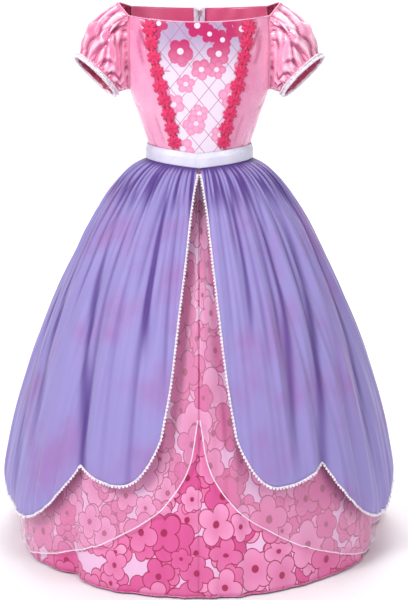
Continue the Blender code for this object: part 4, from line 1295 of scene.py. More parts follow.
class Parts:
    """The small parts that are repeated along the trims."""

    def __init__(self) -> None:
        """Makes the bead, the loop, the stitch, the tooth and the lace flower."""
        self.bead = self.ball("part_bead", (0.0023, 0.0024, 0.0019), 10, 6)
        self.loop = self.ball("part_loop", (0.0014, 0.0026, 0.0018), 8, 6)
        self.stitch = self.ball("part_stitch", (0.0011, 0.0003, 0.0003), 6, 4)
        self.tooth = self.ball("part_tooth", (0.0007, 0.0021, 0.0009), 8, 4)
        self.flower = self.lace_flower()

    @staticmethod
    def keep(name: str, points: Array, faces: Sequence[Sequence[int]]) -> Piece:
        """An object for a part that is only ever repeated, so it isn't linked to the scene."""
        mesh = bpy.data.meshes.new(name)
        mesh.from_pydata([tuple(map(float, point)) for point in points], [], [tuple(face) for face in faces])
        mesh.shade_smooth()
        return bpy.data.objects.new(name, mesh)

    @classmethod
    def ball(cls, name: str, half: Triple, around: int, rings: int) -> Piece:
        """A stretched ball.

        Args:
            name: its name.
            half: its half sizes.
            around: how many points go round it.
            rings: how many bands go from pole to pole.

        Returns:
            The part.
        """
        points = [(0.0, 0.0, half[2])]
        for ring in range(1, rings):
            tilt = math.pi * ring / rings
            for step in range(around):
                turn = math.tau * step / around
                points.append(
                    (
                        half[0] * math.sin(tilt) * math.cos(turn),
                        half[1] * math.sin(tilt) * math.sin(turn),
                        half[2] * math.cos(tilt),
                    )
                )
        points.append((0.0, 0.0, -half[2]))
        last = len(points) - 1
        faces = [(0, 1 + i, 1 + (i + 1) % around) for i in range(around)]
        for ring in range(rings - 2):
            first = 1 + ring * around
            for i in range(around):
                j = (i + 1) % around
                faces.append((first + i, first + around + i, first + around + j, first + j))
        first = last - around
        faces += [(last, first + (i + 1) % around, first + i) for i in range(around)]
        return cls.keep(name, np.array(points), faces)

    @classmethod
    def lace_flower(cls) -> Piece:
        """A flower of raised lace: eight cupped petals round a small raised ring."""
        petals, steps, rings = 8, 64, 8
        turn = np.linspace(0.0, math.tau, steps, endpoint=False)
        lobe = np.abs(np.cos(turn * petals / 2)) ** 0.55
        reach = 0.0134 * (0.60 + 0.40 * lobe)
        levels = np.linspace(0.0, 1.0, rings + 1)[1:]
        points = [(0.0, 0.0, 0.0030)]
        for level in levels:
            cup = 0.0012 * math.sin(level * math.pi) + 0.0016 * math.exp(-(((level - 0.30) / 0.12) ** 2))
            groove = 0.0009 * (1.0 - lobe) * level
            height = 0.0008 + cup - groove + 0.0004 * level * np.sin(turn * petals * 2)
            for x, y, z in zip(reach * level * np.cos(turn), reach * level * np.sin(turn), height):
                points.append((x, y, z))
        under = len(points)
        for x, y in zip(reach * np.cos(turn), reach * np.sin(turn)):
            points.append((x, y, 0.0))
        faces = [(0, 1 + i, 1 + (i + 1) % steps) for i in range(steps)]
        for ring in range(rings):
            first = 1 + ring * steps
            for i in range(steps):
                j = (i + 1) % steps
                faces.append((first + i, first + steps + i, first + steps + j, first + j))
        faces.append(tuple(range(under + steps - 1, under - 1, -1)))
        return cls.keep("part_lace_flower", np.array(points), faces)


@dataclass
class Bodice:
    """The bodice: panels, waist ribbon, flower trims and neck edge."""

    form: BodyForm
    finish: Wardrobe
    repeat: Repeat
    parts: Parts
    rows: int = 72
    ribbon_half: float = 0.012
    flower_top: float = -0.0262
    flower_pitch: float = 0.02335
    flowers: int = 9
    crease_gain: float = 1.35

    CREASES = (
        Crease((58.0, -0.020), (53.0, -0.030), (46.0, -0.036), -0.0024, 0.0032),
        Crease((59.0, -0.026), (54.0, -0.042), (47.5, -0.052), -0.0022, 0.0036),
        Crease((60.0, -0.036), (56.5, -0.058), (50.0, -0.078), -0.0020, 0.0042),
        Crease((61.5, -0.046), (59.0, -0.078), (54.0, -0.105), -0.0014, 0.0052),
        Crease((56.0, -0.020), (51.0, -0.022), (46.0, -0.024), -0.0018, 0.0024),
        Crease((45.0, -0.235), (46.0, -0.205), (52.0, -0.170), -0.0012, 0.0050),
        Crease((74.0, -0.243), (72.0, -0.222), (70.0, -0.200), -0.0013, 0.0036),
        Crease((60.0, -0.243), (59.0, -0.226), (60.0, -0.205), -0.0010, 0.0034),
        Crease((86.0, -0.150), (76.0, -0.168), (66.0, -0.172), -0.0012, 0.0050),
        Crease((112.0, -0.020), (122.0, -0.040), (134.0, -0.052), -0.0018, 0.0040),
        Crease((112.0, -0.040), (120.0, -0.075), (134.0, -0.100), -0.0015, 0.0050),
        Crease((110.0, -0.243), (112.0, -0.225), (114.0, -0.205), -0.0012, 0.0036),
        Crease((140.0, -0.243), (139.0, -0.225), (140.0, -0.200), -0.0012, 0.0036),
        Crease((172.0, -0.200), (160.0, -0.205), (148.0, -0.198), -0.0012, 0.0045),
    )

    def panel(
        self, across: Array, top: Array, left: Callable[[Array], Array], right: Callable[[Array], Array]
    ) -> tuple[Array, Array]:
        """Azimuths and heights of a panel's grid.

        Args:
            across: share of the way across of each column.
            top: height of the top of each column.
            left: the panel's edge of smaller azimuth, by height.
            right: the other edge.

        Returns:
            The azimuths and the heights.
        """
        ends = mixed(left(np.array(WAIST)), right(np.array(WAIST)), across)
        bottom = self.form.waist_height(ends)
        down = np.linspace(0.0, 1.0, self.rows)[:, None]
        heights = mixed(top[None, :], bottom[None, :] - 0.002, down)
        return mixed(left(heights), right(heights), across[None, :]), heights

    def surface(self, azimuth: Array, height: Array, side: int) -> tuple[Array, Array, Array]:
        """A panel's creased points, cloth coordinates and depth in a crease.

        Args:
            azimuth: azimuths on the +X side.
            height: heights.
            side: 1, or -1 to mirror.

        Returns:
            The points, the cloth coordinates and a share of 0 to 1 for each point: how deep it lies in a
            crease, by which the satin paints shade.
        """
        out = np.zeros(azimuth.shape)
        for crease in self.CREASES:
            out = out + self.crease_gain * crease.field(azimuth, height, (0.0019, 1.0))
        # Painted shade: the satin darkens each point by how deep it lies in a crease.
        groove = np.clip(-out / 0.0026, 0.0, 1.0)
        out = out + 0.0004 * curve_noise(azimuth * 0.06 + height * 18.0, 3 + side)
        points = self.form.point(azimuth, height, out)
        cloth = np.stack([azimuth * 0.0019, height], axis=-1)
        if side < 0:
            points = points[:, ::-1] * np.array([-1.0, 1.0, 1.0])
            cloth, groove = cloth[:, ::-1], groove[:, ::-1]
        return points, cloth, groove

    def build(self) -> None:
        """Builds and dresses every piece of the bodice."""
        self.build_front()
        for side in Side:
            self.build_side_front(side)
            self.build_back(side)
            self.build_flower_trim(side)
        self.build_ribbon()
        self.build_neck_edge()

    def build_front(self) -> None:
        """The lattice panel."""
        across = np.linspace(0.0, 1.0, 101)
        edge = self.form.princess(np.array(NECK_FRONT))
        x = self.form.point(mixed(-edge, edge, across), NECK_FRONT)[..., 0]
        azimuth, height = self.panel(
            across, self.form.neckline(x), lambda z: -self.form.princess(z), self.form.princess
        )
        ripple = 0.0005 * curve_noise(azimuth * 0.08, 21) * smooth((height + 0.11) / 0.08)
        points = self.form.point(azimuth, height, ripple)
        cloth = points[..., [0, 2]]
        piece = grid_mesh("front_panel", points, cloth, [self.finish.panel, self.finish.inside])
        dress_piece(piece, "lattice_panel_satin", "bodice_front_panel")

    def armhole_columns(self, left: Callable, right: Callable, back: bool) -> tuple[Array, Array]:
        """Columns along the armhole, from the underarm seam to the neckline's corner."""
        share = 1.0 - (1.0 - np.linspace(0.0, 1.0, 56)[:-1]) ** 2.2
        y = share * self.form.corner_y[back]
        height = self.form.armhole_height(y)
        low, high = left(height), right(height)
        across = (self.form.side_azimuth(y, height) - low) / (high - low)
        return np.clip(across, 0.0, 1.0), height

    def neck_columns(self, left: Callable, right: Callable, back: bool, count: int) -> tuple[Array, Array]:
        """Columns along the neckline, from the armhole's corner inwards."""
        height = np.array(self.form.corner_z[back])
        low, high = left(height), right(height)
        corner = (self.form.azimuth_at_x(self.form.ARMHOLE_X, height, back) - low) / (high - low)
        across = mixed(corner, 1.0 if back else 0.0, np.linspace(0.0, 1.0, count))
        x = self.form.point(mixed(low, high, across), height)[..., 0]
        return across, self.form.neckline(x, back)

    def build_side_front(self, side: Side) -> None:
        """One side front, from the flower trim's seam to the side seam."""
        left, right = self.form.princess, self.form.side_seam
        arm, arm_top = self.armhole_columns(left, right, False)
        neck, neck_top = self.neck_columns(left, right, False, 26)
        across = np.concatenate([neck[::-1], arm[::-1]])
        top = np.concatenate([neck_top[::-1], arm_top[::-1]])
        self.build_panel("side_front", side, self.panel(across, top, left, right))

    def build_back(self, side: Side) -> None:
        """One back, from the side seam to the zip's slot."""
        left, right = self.form.side_seam, self.form.zip_slot
        arm, arm_top = self.armhole_columns(left, right, True)
        neck, neck_top = self.neck_columns(left, right, True, 40)
        across, top = np.concatenate([arm, neck]), np.concatenate([arm_top, neck_top])
        self.build_panel("back", side, self.panel(across, top, left, right))

    def build_panel(self, name: str, side: Side, grid: tuple[Array, Array]) -> None:
        """A panel in pink satin.

        Args:
            name: its name without the side.
            side: which side.
            grid: its azimuths and heights on the +X side.
        """
        points, cloth, groove = self.surface(*grid, side.sign)
        finishes = [self.finish.satin, self.finish.inside]
        piece = grid_mesh(f"{name}_{side.word}", points, cloth, finishes, extra={"groove": groove})
        dress_piece(piece, "pink_satin", f"bodice_{name}_{side.word}")

    def build_flower_trim(self, side: Side) -> None:
        """A chain of lace flowers down a princess seam."""
        middles = self.flower_top - self.flower_pitch * (np.arange(self.flowers) + 0.5)
        height = np.linspace(middles[0], middles[-1], 120)
        azimuth = self.form.princess(height)
        points = self.form.point(azimuth * side.sign, height, CLEAR + 0.0004)
        below = self.form.point(azimuth * side.sign, height - 0.002)
        beside = self.form.point(azimuth * side.sign + 1.0, height)
        here = self.form.point(azimuth * side.sign, height)
        facing = np.cross(below - here, beside - here)
        facing /= np.linalg.norm(facing, axis=-1, keepdims=True)
        name = f"lace_flowers_{side.word}"
        length = float(np.linalg.norm(np.diff(points, axis=0), axis=-1).sum())
        pitch = length / (self.flowers - 0.6)
        flower, lace = self.parts.flower, self.finish.lace
        piece = self.repeat.row(name, points, facing, flower, lace, pitch, 0.5, 0.06)
        dress_piece(piece, "rose_flower_lace", f"flower_trim_{side.word}")
        across = np.linspace(-1.0, 1.0, 7)[None, :]
        height = height[:, None]
        wide = 0.0064 + 0.0014 * np.sin(height * math.tau / 0.0058)
        turn = np.degrees(wide * across / self.form.radius(azimuth[:, None], height))
        centre = azimuth[:, None] * side.sign
        band = self.form.point(centre + turn, np.broadcast_to(height, turn.shape), CLEAR + 0.0006)
        cloth = np.stack([wide * across, np.broadcast_to(height, turn.shape)], axis=-1)
        strip = grid_mesh(f"lace_band_{side.word}", band, cloth, [self.finish.lace_band], wall=0.0006)
        dress_piece(strip, "rose_flower_lace")

    def build_ribbon(self) -> None:
        """The white ribbon over the waist seam."""
        gap = math.degrees(0.0024 / float(self.form.radius(180.0, WAIST)))
        azimuth = np.linspace(-180.0 + gap, 180.0 - gap, 361)[None, :]
        down = np.linspace(-1.0, 1.0, 17)[:, None]
        seam = self.form.waist_height(azimuth)
        height = seam - down * self.ribbon_half
        upper = self.form.radius(azimuth, height) + CLEAR
        lower = self.form.radius(azimuth, WAIST) + 0.0034 + CLEAR
        out = mixed(upper, lower, smooth((down + 1.0) / 0.75)) + 0.0013
        roll = 0.0006 * np.cos(down * math.pi / 2)
        wave = 0.0007 * curve_noise(azimuth * 0.05, 5) * np.cos(down * 1.2)
        points = placed(azimuth, out + roll + wave, height)
        cloth = np.stack(np.broadcast_arrays(azimuth * 0.0016, height), axis=-1)
        piece = grid_mesh("waist_band", points, cloth, [self.finish.ribbon], wall=0.0012)
        dress_piece(piece, "white_ribbon", "waist_ribbon")
        for word, row in (("upper", 1), ("lower", -2)):
            self.stitch(f"ribbon_stitches_{word}", points[row], self.finish.trim, "white_ribbon")

    def stitch(self, name: str, seam: Array, finish: Material, slot: str) -> None:
        """A row of machine stitches round the bodice.

        Args:
            name: the piece's name.
            seam: the line that it follows, on the cloth.
            finish: the thread's material.
            slot: its material slot.
        """
        facing = seam * np.array([1.0, 1.0, 0.0])
        facing /= np.linalg.norm(facing, axis=-1, keepdims=True)
        row = self.repeat.row(name, seam + facing * 0.0002, facing, self.parts.stitch, finish, 0.0034)
        dress_piece(row, slot)

    def build_neck_edge(self) -> None:
        """A rolled edge along the front and back neckline, as thin cords in the bodice's satin."""
        form, satin = self.form, self.finish.satin
        for word, back, start in (("front", False, 0.0), ("back", True, 0.0030)):
            x = np.linspace(start, form.ARMHOLE_X, 60)
            height = form.neckline(x, back)
            azimuth = form.azimuth_at_x(x, height, back)
            for side in Side:
                points = form.point(azimuth * side.sign, height, -0.0003)
                name = f"neck_roll_{word}_{side.word}"
                dress_piece(self.repeat.cord(name, points, 0.0010, satin), "pink_satin")
                seam = points[:-6] - np.array([0.0, 0.0, 0.006])
                self.stitch(f"neck_stitches_{word}_{side.word}", seam, satin, "pink_satin")


@dataclass
class PuffSleeves:
    """Two puff sleeves, with their wrinkles, and the looped edging round each cuff."""

    form: BodyForm
    finish: Wardrobe
    repeat: Repeat
    parts: Parts
    columns: int = 210
    rows: int = 74
    shoulder: tuple[float, float] = (0.1360, 0.0015)
    arch: float = 0.135
    seam: float = 0.0028
    cuff_centre: Vector = Vector((0.1740, -0.0120, -0.1195))
    cuff_outward: Vector = Vector((0.68, -0.24, -0.69)).normalized()
    cuff_radius: float = 0.0445
    cuff_length: float = 0.006
    crease_gain: float = 0.85
    long_count: int = 24

    CREASES = (
        Crease((0.06, 0.02), (0.10, 0.30), (0.14, 0.62), -0.0065, 0.0060),
        Crease((0.12, 0.02), (0.15, 0.25), (0.22, 0.55), -0.0060, 0.0055),
        Crease((0.17, 0.02), (0.21, 0.22), (0.30, 0.46), -0.0055, 0.0055),
        Crease((0.24, 0.05), (0.30, 0.22), (0.40, 0.40), -0.0045, 0.0055),
        Crease((0.02, 0.02), (0.04, 0.25), (0.06, 0.50), -0.0050, 0.0055),
        Crease((-0.04, 0.02), (-0.03, 0.28), (-0.02, 0.60), -0.0055, 0.0060),
        Crease((-0.10, 0.02), (-0.12, 0.28), (-0.15, 0.55), -0.0055, 0.0060),
        Crease((-0.17, 0.02), (-0.21, 0.26), (-0.28, 0.52), -0.0050, 0.0060),
        Crease((-0.26, 0.04), (-0.32, 0.26), (-0.40, 0.45), -0.0040, 0.0060),
        Crease((0.08, 0.98), (0.09, 0.80), (0.13, 0.62), -0.0065, 0.0050),
        Crease((0.15, 0.98), (0.17, 0.78), (0.22, 0.58), -0.0065, 0.0050),
        Crease((0.22, 0.98), (0.25, 0.78), (0.31, 0.62), -0.0060, 0.0050),
        Crease((0.30, 0.98), (0.32, 0.80), (0.38, 0.60), -0.0055, 0.0050),
        Crease((0.38, 0.98), (0.40, 0.78), (0.46, 0.58), -0.0055, 0.0050),
        Crease((0.01, 0.98), (0.01, 0.82), (0.03, 0.66), -0.0060, 0.0050),
        Crease((-0.07, 0.98), (-0.08, 0.80), (-0.10, 0.62), -0.0060, 0.0050),
        Crease((-0.16, 0.98), (-0.18, 0.80), (-0.22, 0.62), -0.0060, 0.0050),
        Crease((-0.26, 0.98), (-0.28, 0.80), (-0.33, 0.64), -0.0055, 0.0050),
        Crease((-0.38, 0.98), (-0.40, 0.80), (-0.44, 0.64), -0.0050, 0.0050),
        Crease((0.50, 0.98), (0.50, 0.70), (0.49, 0.40), -0.0045, 0.0055),
        Crease((0.09, 0.35), (0.17, 0.50), (0.20, 0.75), 0.0035, 0.0075),
        Crease((0.26, 0.40), (0.30, 0.55), (0.28, 0.78), 0.0035, 0.0070),
        Crease((0.36, 0.30), (0.40, 0.50), (0.36, 0.75), -0.0035, 0.0060),
        Crease((-0.12, 0.40), (-0.20, 0.55), (-0.24, 0.80), 0.0035, 0.0075),
        Crease((0.00, 0.45), (0.06, 0.60), (0.10, 0.82), 0.0030, 0.0070),
    )

    def armhole(self, share: Array) -> Array:
        """Points where the +X sleeve starts: the gathered arch on top, then the armhole's edge."""
        form = self.form
        back = share > 0.5
        nearest = np.where(back, 1.0 - share, share)
        way = np.clip(nearest / self.arch, 0.0, 1.0)
        lift = 1.0 - way**1.7
        corners = {
            which: form.point(
                form.azimuth_at_x(form.ARMHOLE_X, form.corner_z[which], which), form.corner_z[which], 0.0018
            )
            for which in (False, True)
        }
        corner = np.where(back[:, None], corners[True], corners[False])
        corner_y = np.where(back, form.corner_y[True], form.corner_y[False])
        upper = np.stack(
            [
                mixed(corner[:, 0], self.shoulder[0], lift),
                corner_y * way,
                mixed(corner[:, 2], self.shoulder[1], lift),
            ],
            axis=-1,
        )
        angle = math.pi * (1.0 - (share - self.arch) / (1.0 - 2.0 * self.arch))
        behind = np.cos(angle) > 0
        reach = np.where(behind, abs(form.corner_y[True]), abs(form.corner_y[False])) + self.seam
        y = reach * np.abs(np.cos(angle)) ** 0.45 * np.where(behind, 1.0, -1.0)
        height = form.armhole_height(y, self.seam)
        ring = form.point(form.side_azimuth(y, height), height, CLEAR)
        lower = np.stack([ring[:, 0], y, height], axis=-1)
        return np.where((nearest <= self.arch)[:, None], upper, lower)

    def cuff(self, share: Array, along: Array | float, out: Array | float = 0.0) -> tuple[Array, Array]:
        """Points round the +X cuff and their spokes."""
        top = Vector((0.7, 0.0, 0.7))
        top = (top - self.cuff_outward * top.dot(self.cuff_outward)).normalized()
        front = top.cross(self.cuff_outward)
        front = front if front.y < 0 else -front
        turn = math.tau * share[:, None]
        spoke = np.array(top) * np.cos(turn) + np.array(front) * np.sin(turn)
        along = np.asarray(along, float).reshape(-1, 1)
        out = np.asarray(out, float).reshape(-1, 1)
        centre = np.array(self.cuff_centre) + np.array(self.cuff_outward) * along
        return centre + spoke * (self.cuff_radius + out), spoke

    def puff(self, share: Array, along: Array) -> Array:
        """The +X puff's smooth surface.

        Args:
            share: share of the way round, for each column.
            along: share of the way from armhole to cuff, for each row.

        Returns:
            Rows by columns by 3.
        """
        start = self.armhole(share)
        end, spoke = self.cuff(share, -self.cuff_length)
        length = np.linalg.norm(end - start, axis=-1, keepdims=True)
        turn = math.tau * share[:, None]
        reach = length * mixed(0.36, 0.52, np.abs(np.sin(turn)))
        leaving = np.concatenate(
            [0.90 + 0.0 * turn, -0.62 * np.sin(turn), -0.42 * np.abs(np.cos(turn))], axis=1
        )
        leaving /= np.linalg.norm(leaving, axis=-1, keepdims=True)
        coming = spoke * 0.9 - np.array(self.cuff_outward)
        coming /= np.linalg.norm(coming, axis=-1, keepdims=True)
        first, second = start + leaving * reach, end + coming * reach
        t = along[:, None, None]
        return start * (1 - t) ** 3 + first * 3 * t * (1 - t) ** 2 + second * 3 * t * t * (1 - t) + end * t**3

    def puckers(self, share: Array, along: Array) -> Array:
        """Small seeded gathers into the shoulder arch and the cuff."""
        chance = np.random.default_rng(29)
        total = np.zeros(np.broadcast(share, along).shape)
        for count, at_cuff in ((46, True), (40, False)):
            for i in range(count):
                middle = (i + chance.uniform(-0.25, 0.25)) / count
                long = chance.uniform(0.10, 0.26)
                depth = chance.uniform(0.0020, 0.0044)
                distance = 1.0 - along if at_cuff else along
                away = (share - middle + 0.5) % 1.0 - 0.5
                strength = smooth(distance / 0.03 + 0.25) * smooth((long - distance) / long)
                total = total - depth * strength * np.exp(-((away / 0.0075) ** 2))
        return total

    def relief(self, out: Array) -> Array:
        """How far each point lies in a fold, up to 1, or on a ridge, down to -1; the satin paints shade in
        the folds and highlights on the ridges by it.
        """
        near = sum(np.roll(out, step, axis=1) for step in range(-6, 7)) / 13
        return np.clip((near - out) / 0.0017, -1.0, 1.0)

    def long_folds(self, share: Array, along: Array) -> Array:
        """Uneven troughs that run from the shoulder to the cuff."""
        chance = np.random.default_rng(43)
        total = np.zeros(np.broadcast(share, along).shape)
        for i in range(self.long_count):
            middle = (i + chance.uniform(-0.35, 0.35)) / self.long_count
            lean, bow = chance.uniform(-0.06, 0.06), chance.uniform(-0.035, 0.035)
            line = middle + lean * (along - 0.5) + bow * np.sin(along * math.pi)
            away = (share - line + 0.5) % 1.0 - 0.5
            depth = chance.uniform(0.0016, 0.0042) * (0.25 + np.abs(curve_noise(along * 1.6, 70 + i)))
            total = total - depth * np.exp(-((away / chance.uniform(0.009, 0.017)) ** 2))
        return total

    def build(self) -> None:
        """Builds and dresses both sleeves and their edgings."""
        share = np.arange(self.columns) / self.columns
        along = np.linspace(0.0, 1.0, self.rows)
        points = self.puff(share, along)
        end = self.cuff(share, 0.0)[0]
        points = np.concatenate([points, mixed(points[-1:], end[None], 0.5), end[None]], axis=0)
        u, v = np.meshgrid(share, np.concatenate([along, [1.02, 1.04]]))
        out = np.zeros(u.shape)
        for crease in self.CREASES:
            out = out + self.crease_gain * crease.field(u, v, (0.40, 0.13), 1.0)
        out = out + self.puckers(u, v) + self.long_folds(u, v)
        out = out * smooth(np.minimum(v, 1.04 - v) / 0.05)
        groove = self.relief(out)
        facing = -normals_of(points, True)
        points = points + facing * out[..., None]
        cloth = np.stack([u * 0.40, v * 0.13], axis=-1)
        for side in Side:
            self.build_side(side, points, cloth, groove)

    def build_side(self, side: Side, points: Array, cloth: Array, groove: Array) -> None:
        """One sleeve, its shoulder seam and its cuff edging.

        Args:
            side: which.
            points: the +X sleeve's surface.
            cloth: its cloth coordinates.
            groove: how far each point lies in a fold, or down to -1 on a ridge, for the painted shade and
                highlights.
        """
        mirror = np.array([side.sign, 1.0, 1.0])
        shaped, mapped, deep = flipped(side is Side.LEFT, points * mirror, cloth, groove)
        finishes = [self.finish.sleeve, self.finish.cuff_inside]
        name = f"puff_sleeve_{side.word}"
        piece = grid_mesh(name, shaped, mapped, finishes, around=True, extra={"groove": deep})
        dress_piece(piece, "pink_satin", f"sleeve_{side.word}")
        seam = self.repeat.cord(
            f"armhole_seam_{side.word}", points[0] * mirror, 0.0013, self.finish.sleeve, closed=True
        )
        dress_piece(seam, "pink_satin")
        share = np.arange(120) / 120
        ring, spoke = self.cuff(share, -0.0012, 0.0012)
        name = f"cuff_cord_{side.word}"
        band = self.repeat.cord(name, ring * mirror, 0.0023, self.finish.trim, closed=True)
        dress_piece(band, "white_edging", f"cuff_edging_{side.word}")
        facing = np.broadcast_to(np.array(self.cuff_outward), spoke.shape) * mirror
        for word, along, out in (("outer", 0.0012, 0.0022), ("inner", -0.0044, 0.0030)):
            ring = self.cuff(share, along, out)[0]
            name = f"cuff_loops_{word}_{side.word}"
            row = self.repeat.row(
                name, ring * mirror, facing, self.parts.loop, self.finish.trim, 0.0033, 0.2, 0.1, True
            )
            dress_piece(row, "white_edging")


@dataclass
class Overskirt:
    """Two chiffon halves, open in front, with a beaded edging."""

    form: SkirtForm
    finish: Wardrobe
    repeat: Repeat
    parts: Parts
    columns: int = 300
    rows: int = 116
    bead_pitch: float = 0.0060

    SCALLOPS = {
        Side.RIGHT: (
            (11.6, -0.668), (24, -0.744), (38, -0.7245), (64, -0.840), (93, -0.815), (115, -0.893),
            (137, -0.848), (159, -0.902), (180, -0.862),
        ),
        Side.LEFT: (
            (11.6, -0.668), (24, -0.746), (40, -0.7215), (65, -0.840), (101, -0.815), (120, -0.893),
            (139, -0.848), (160, -0.902), (180, -0.862),
        ),
    }
    POWER = 2.3
    WAIST_ROOM = 0.0011
    KEPT_FREE = 0.0030
    FRONT_EDGE = (
        (-0.668, 11.6), (-0.576, 9.4), (-0.478, 8.0), (-0.409, 7.1), (-0.349, 6.1), (-0.296, 3.8),
        (-0.2665, 1.6), (-0.2500, 0.5),
    )

    def scallop(self, side: Side, azimuth: Array) -> Array:
        """Height of the lower edge: cusps at the peaks, round at the low points."""
        edge = self.SCALLOPS[side]
        height = np.full(azimuth.shape, edge[-1][1])
        for start, end in reversed(list(zip(edge, edge[1:]))):
            low, peak = (start, end) if start[1] < end[1] else (end, start)
            away = np.abs((azimuth - low[0]) / (peak[0] - low[0]))
            found = mixed(low[1], peak[1], np.clip(away, 0.0, 1.0) ** self.POWER)
            height = np.where(azimuth <= end[0], found, height)
        return height

    def surface(self, side: Side) -> tuple[Array, Array, Array]:
        """One half's points from the front edge to the centre back.

        Args:
            side: which half.

        Returns:
            The points, the cloth coordinates and a share of 0 to 1 of painted shade for each point, in narrow
            lines along the folds and between the gathers under the waist.
        """
        form = self.form
        across = np.linspace(0.0, 1.0, self.columns)
        end = self.scallop(side, mixed(11.6, 180.0, across))[None, :]
        top = form.body.waist_height(mixed(0.5, 180.0, across))[None, :]
        down = np.linspace(0.0, 1.0, self.rows)[:, None] ** 1.35
        height = mixed(top - 0.0004, end, down)
        azimuth = mixed(Curve(self.FRONT_EDGE)(height), 180.0, across[None, :])
        share = form.share_at(azimuth, height)
        azimuth = azimuth * side.sign
        parted = form.parted(share)
        room = self.WAIST_ROOM - CLOTH + (form.SHEER.full - form.SHEER.near - self.KEPT_FREE) * parted
        room = np.maximum(room, 1e-4)
        wanted = form.folded(azimuth, share, form.FOLDS) + form.folded(azimuth, share, form.small_folds)
        pulled = room * (1.0 - np.exp(-wanted / room))
        waves = 1.2 + curve_noise(azimuth * 0.16, 40 + side.sign) + 0.6 * curve_noise(azimuth * 0.42, 44)
        ridges = form.gathered(azimuth, share, 5)
        swell = 0.0020 * parted * waves
        free = smooth((1.0 - down) / 0.10 + 0.4)
        out = form.swing(azimuth, share, grooves=False) - pulled + (ridges + swell) * free
        out = out + 0.0020 * smooth((share - 0.55) / 0.4) * curve_noise(azimuth * 0.35 + share * 2.0, 51)
        points = form.layer(azimuth, share, 0.0 * share, out)
        # Painted shade for the chiffon: narrower lines than the folds themselves, and the hollows between the
        # gathers under the waist, fainter lower down.
        narrow = form.folded(azimuth, share, form.FOLDS, 0.50) / 0.0125
        narrow = narrow + form.folded(azimuth, share, form.small_folds, 0.65) / 0.0080
        gathers = smooth((share - 0.012) / 0.01) * smooth((0.15 - share) / 0.11)
        groove = 0.85 * narrow + gathers * (1.0 - smooth(ridges / 0.0022))
        groove = np.clip(groove * mixed(1.0, 0.70, smooth((share - 0.2) / 0.6)), 0.0, 1.0)
        cloth = np.stack([np.abs(azimuth) * 0.0058, height], axis=-1)
        return points, cloth, groove

    def build(self) -> None:
        """Builds and dresses both halves and their edgings."""
        for side in Side:
            points, cloth, groove = self.surface(side)
            facing = normals_of(points, False) * side.sign
            grid, mapped, deep = flipped(side is Side.RIGHT, points, cloth, groove)
            name = f"lilac_skirt_{side.word}"
            piece = grid_mesh(name, grid, mapped, [self.finish.chiffon], wall=0.0005, extra={"groove": deep})
            dress_piece(piece, "lilac_chiffon", f"overskirt_{side.word}")
            self.build_edging(side, points, facing)

    def build_edging(self, side: Side, points: Array, facing: Array) -> None:
        """The beads and the cord that carries them.

        Args:
            side: which half.
            points: that half's points, from the front edge to the centre back.
            facing: their outward normals.
        """
        first = 13
        path = np.concatenate([points[first:-1, 0], points[-1]])
        out = np.concatenate([facing[first:-1, 0], facing[-1]])
        cord = self.repeat.cord(f"edge_cord_{side.word}", path + out * 0.0004, 0.0010, self.finish.trim)
        dress_piece(cord, "white_edging", f"overskirt_edging_{side.word}")
        inward = np.concatenate([points[first:-1, 3] - points[first:-1, 0], points[-4] - points[-1]])
        inward /= np.linalg.norm(inward, axis=-1, keepdims=True)
        beads = self.repeat.row(
            f"edge_beads_{side.word}",
            path + out * 0.0006 - inward * 0.0018,
            out,
            self.parts.bead,
            self.finish.trim,
            self.bead_pitch,
            0.4,
            0.10,
        )
        dress_piece(beads, "white_edging")


